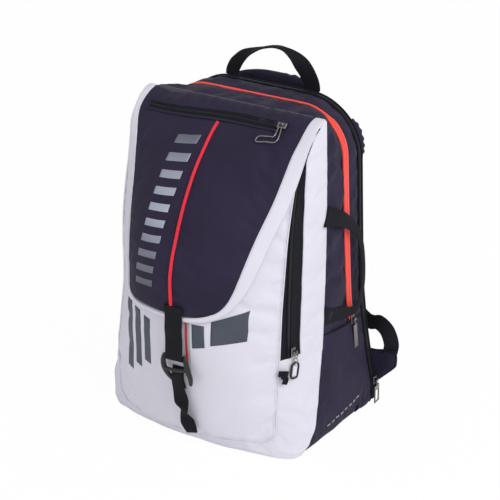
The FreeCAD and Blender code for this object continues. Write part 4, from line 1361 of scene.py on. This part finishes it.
def sheet_tree(obj):
    bpy.context.view_layer.update()
    return BVHTree.FromObject(obj, bpy.context.evaluated_depsgraph_get())


def patch(name, corners, sheets, material, body, lift=0.6):
    """Printed patch on the front, from its corners (x, z) in order round it from its lower left."""
    a, b, c, d = np.array(corners, float)
    v = np.linspace(0, 1, 30)[:, None, None]
    u = np.linspace(0, 1, 12)[None, :, None]
    flat = (a * (1 - u) + b * u) * (1 - v) + (d * (1 - u) + c * u) * v
    start = np.stack([flat[..., 0], np.full(flat.shape[:2], -300.0), flat[..., 1]], axis=-1)
    p = laid(start, sheets, (0.0, 1.0, 0.0), lift)
    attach(cloth_grid(name, p, material, 0.3, inside=(0, 100, 200)), body)


def prints(panel, flap):
    """Plain generic graphics: slate blocks on the pocket, and a ladder of silver bars on the flap."""
    pocket = [sheet_tree(panel)]
    blocks = [[(-104, 92), (-91, 90), (-88, 203), (-101, 205)],
              [(-82, 106), (-69, 104), (-66, 198), (-79, 200)],
              [(-60, 120), (-47, 118), (-44, 192), (-57, 194)],
              [(30, 168), (48, 172), (48, 206), (30, 206)],
              [(56, 176), (102, 187), (104, 233), (58, 214)]]
    for index, corners in enumerate(blocks):
        patch(f"pocket_print_{index}", corners, pocket, slate_ink, "shell")
    for name, left, right, ink in (("red", 19.5, 22.6, red_ink), ("pale", 23.2, 26.6, pale_ink)):
        strip = [(left, 120), (right, 120), (right, 207), (left, 207)]
        patch(f"pocket_print_{name}", strip, pocket, ink, "shell")
    cover = [sheet_tree(flap)]
    for index in range(10):
        z = 246 + 21.0 * index
        x = -66 + 2.0 * index
        bar = [(x, z), (x + 36, z + 5), (x + 37, z + 15), (x + 1, z + 10)]
        patch(f"flap_print_{index}", bar, cover, silver_ink, "flap")


def side_dashes(pocket):
    """Short pale dashes printed low on the right pocket."""
    sheets = [sheet_tree(pocket)]
    for index in range(8):
        y = np.linspace(-22 + 12.0 * index, -15 + 12.0 * index, 8)
        rows = []
        for z in (24.0, 26.4):
            rows.append(np.stack([np.full(8, 300.0), y, z + 0.1 * (y + 22)], 1))
        spots = laid(np.array(rows), sheets, (-1.0, 0.0, 0.0), 0.4)
        dash = cloth_grid(f"side_print_{index}", spots, pale_ink, 0.3, inside=(0, 40, 100))
        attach(dash, "shell")


def flap_pull():
    """Bent wire pull of the flap zip, lying on the cloth."""
    spots = [(95.4, 473.5), (95.3, 468), (95.2, 460.5), (88, 459.3), (74, 457.5), (73.2, 452.4),
             (86, 453.6), (100.8, 455.5), (101, 466)]
    path = smooth_path(on_flap(spots, 4.6), 90, closed=True)[:-1]
    wire = sweep("flap_pull_wire", path, (0.0, 0.7, -0.7), tube_outline(0.95, 10), zip_metal, True)
    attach(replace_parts(wire, "flap_pull"), "flap_zip_pull")


def gusset_pull():
    """Two split rings and a cord loop with a pale insert, and the small tab beside them."""
    low, high = corner("gusset_pull")
    pin = np.array([(low[0] + high[0]) / 2 + 1.0, high[1] - 3.0, high[2] - 4.0])
    a = np.linspace(0, 2 * math.pi, 28, endpoint=False)
    parts = []
    for index, (drop, radius, reach, axis) in enumerate(((3.0, 3.8, 1, X_AXIS), (9.5, 3.4, 0, Y_AXIS))):
        loop = np.zeros((28, 3))
        loop[:, reach] = radius * np.cos(a)
        loop[:, 2] = radius * np.sin(a)
        hub = pin - np.array([0.0, 0.3 * drop, drop])
        parts.append(sweep(f"gusset_pull_ring_{index}", hub + loop, axis, tube_outline(0.75, 8),
                           zip_metal, True))
    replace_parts(parts[0], "gusset_pull")
    frame_points = [(0, -13), (4.5, -16), (5.2, -24), (4.6, -34), (0, -36), (-4.6, -34), (-5.2, -24),
                    (-4.5, -16)]
    away = np.array([0.53, 0.85, 0.0])
    loop = np.array([pin + away * x + np.array([0.0, 0.2 * z, z]) for x, z in frame_points])
    loop = smooth_path(loop, 60, closed=True)[:-1]
    parts.append(sweep("gusset_pull_cord", loop, (0.85, -0.53, 0.0), tube_outline(1.5, 10),
                       buckle_plastic, True))
    insert = smooth_path([pin + np.array([0.0, 0.2 * z, z]) for z in (-17.5, -24, -32.5)], 16)
    parts.append(sweep("gusset_pull_insert", insert, away, strap_outline(7.0, 1.6), white_cloth))
    for part in parts:
        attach(part, "gusset_zip_pull")
    tab = smooth_path([(139.5, -106, 137), (145, -100, 136), (148, -94, 134)], 16)
    tail = smooth_path([(144, -102, 134), (147, -98, 127), (145.5, -100, 120)], 16)
    for index, (path, across) in enumerate(((tab, (-0.1, 0, 1)), (tail, (0.5, 0.85, 0)))):
        strip = sweep(f"gusset_tab_{index}", path, across, strap_outline(9.0, 1.3), black_tape)
        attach(strip, "shell")


def strap_gathers():
    """Gathered strap roots that show past the back's upper edges."""
    for side, name in SIDES:
        knots = np.array([(112, 126, 440), (121, 126, 428), (127, 126, 408), (127.5, 126, 390),
                          (119, 126, 372)], float) * (side, 1, 1)
        path = smooth_path(knots, 80)
        t = np.linspace(0, 1, 80)
        taper = np.sin(math.pi * np.clip(t * 0.94 + 0.03, 0, 1)) ** 0.4
        fat = taper * (1 + 0.11 * np.sin(t * 50 + np.sin(t * 9)))
        outlines = fat[:, None, None] * padded_outline(15.0, 13.0, 24)
        roll = sweep(f"strap_gather_{name}", path, X_AXIS, outlines, dark_cloth)
        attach(subdivide(roll), "shell")


def seam_stitches():
    """Stitching along the fold and beside the coral zip."""
    for index, z in enumerate((474.0, 470.0)):
        line = on_flap([(x, z) for x in np.linspace(-124, 124, 90)], 1.6)
        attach(stitches(f"fold_stitches_{index}", line, (0.0, -0.6, 0.8), dark_thread), "flap")
    middle = ring(MAIN_ZIP, 0.0, 0.0, *MAIN_TOP)
    normals = ring_normals(middle)
    shown = (middle[:, 2] > 152) & (middle[:, 0] > -20)
    for index, edge in enumerate((-1, 1)):
        line = middle + normals * 1.0
        line[:, 1] += edge * (MAIN_ZIP_HALF * zip_widths(middle) + 1.8)
        row = stitches(f"main_zip_stitches_{index}", line[shown], normals[shown], dark_thread)
        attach(row, "shell")


# ---------------------------------------------------------------- camera, light and floor
def studio():
    """Plain pale floor and world, one soft key light and a weak fill."""
    scene = bpy.context.scene
    scene.view_settings.view_transform = "Standard"
    world = bpy.data.worlds.new("studio")
    world.use_nodes = True
    background = world.node_tree.nodes["Background"]
    background.inputs["Color"].default_value = (1.0, 1.0, 1.0, 1.0)
    path = world.node_tree.nodes.new("ShaderNodeLightPath")
    level = world.node_tree.nodes.new("ShaderNodeMapRange")
    level.inputs["To Min"].default_value = 0.62
    level.inputs["To Max"].default_value = 1.0
    world.node_tree.links.new(path.outputs["Is Camera Ray"], level.inputs[0])
    world.node_tree.links.new(level.outputs[0], background.inputs["Strength"])
    scene.world = world
    bpy.ops.mesh.primitive_plane_add(size=14)
    floor = bpy.context.object
    floor.name = "floor"
    ground = Nodes("floor_paint")
    tone = ground.mix(ground.noise(3.0), (0.93, 0.93, 0.93), (0.95, 0.95, 0.95))
    ground.link(tone, ground.shader.inputs["Base Color"])
    ground.shader.inputs["Roughness"].default_value = 0.9
    paper = ground.add("ShaderNodeEmission", Strength=1.0)
    seen = ground.add("ShaderNodeLightPath").outputs["Is Camera Ray"]
    blend = ground.add("ShaderNodeMixShader")
    ground.link(ground.math("MULTIPLY", seen, 0.97), blend.inputs[0])
    ground.link(ground.shader.outputs[0], blend.inputs[1])
    ground.link(paper.outputs[0], blend.inputs[2])
    ground.link(blend.outputs[0], ground.tree.nodes["Material Output"].inputs["Surface"])
    floor.data.materials.append(ground.material)
    lamps = (("key", (2.5, -0.9, 2.2), 50, 1.5), ("fill", (-1.6, -2.6, 1.8), 8, 1.6))
    for name, place, power, size in lamps:
        data = bpy.data.lights.new(name, "AREA")
        data.energy = power
        data.size = size
        light = bpy.data.objects.new(name, data)
        light.location = place
        aim = Vector((0, 0, 0.25)) - Vector(place)
        light.rotation_euler = aim.to_track_quat("-Z", "Y").to_euler()
        scene.collection.objects.link(light)


def camera():
    """Long lens from the bag's right front, a little above it."""
    azimuth = math.radians(32.01)
    elevation = math.radians(23.43)
    roll = math.radians(0.84)
    distance = 2.2371
    target = Vector((0.0236, 0.0, 0.259))
    back = Vector((math.sin(azimuth) * math.cos(elevation), -math.cos(azimuth) * math.cos(elevation),
                   math.sin(elevation)))
    right = Vector((math.cos(azimuth), math.sin(azimuth), 0.0))
    up = back.cross(right)
    turn = Matrix((right, up, back)).transposed().to_4x4()
    data = bpy.data.cameras.new("camera")
    data.lens = 111.17
    data.sensor_width = 36.0
    view = bpy.data.objects.new("camera", data)
    place = Matrix.Translation(target + back * distance)
    view.matrix_world = place @ turn @ Matrix.Rotation(roll, 4, "Z")
    bpy.context.scene.collection.objects.link(view)
    bpy.context.scene.camera = view


# ---------------------------------------------------------------- assembly
for make in (main_band, rear_band, main_zip, rear_zip, back_rim, back_panel, gusset):
    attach(make(), "shell")
pocket_cloth = front_panel()
cover_cloth = flap_cloth()
prints(pocket_cloth, cover_cloth)
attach(pocket_cloth, "shell")
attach(cover_cloth, "flap")
for make in (flap_binding, flap_piping, flap_zip, flap_strap):
    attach(make(), "flap")
for make in (strap_yoke, hook_loop):
    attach(make(), "shell")
side_pockets()
strap_wings()
shoulder_straps()
lower_webbings()
strap_gathers()
flap_pull()
gusset_pull()
hook()
seam_stitches()
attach(top_handle(), "top_handle")
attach(side_handle(), "side_handle")
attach(strap_tail(), "hook")

carried = {
    "dark_fabric": dark_cloth, "white_fabric": white_cloth, "lining": lining_cloth, "black_zip": black_tape,
    "red_zip": coral_tape, "red_piping": red_piping, "webbing": webbing, "back_mesh": back_mesh,
    "padding": lining_cloth, "board": buckle_plastic, "buckle_plastic": buckle_plastic,
    "zip_metal": zip_metal,
}
slots = {s["node"]: s["material_slot"] for s in frame["record"]["subparts"]}
for node, obj in frame["nodes"].items():
    for place in obj.material_slots:
        place.material = carried[slots[node]]

for side in ("right", "left"):
    bevel(frame["nodes"]["ladder_lock_" + side], 1.0)
for zip_name in ("main", "rear"):
    bevel(frame["nodes"][zip_name + "_pull"], 0.3, 2)

studio()
camera()
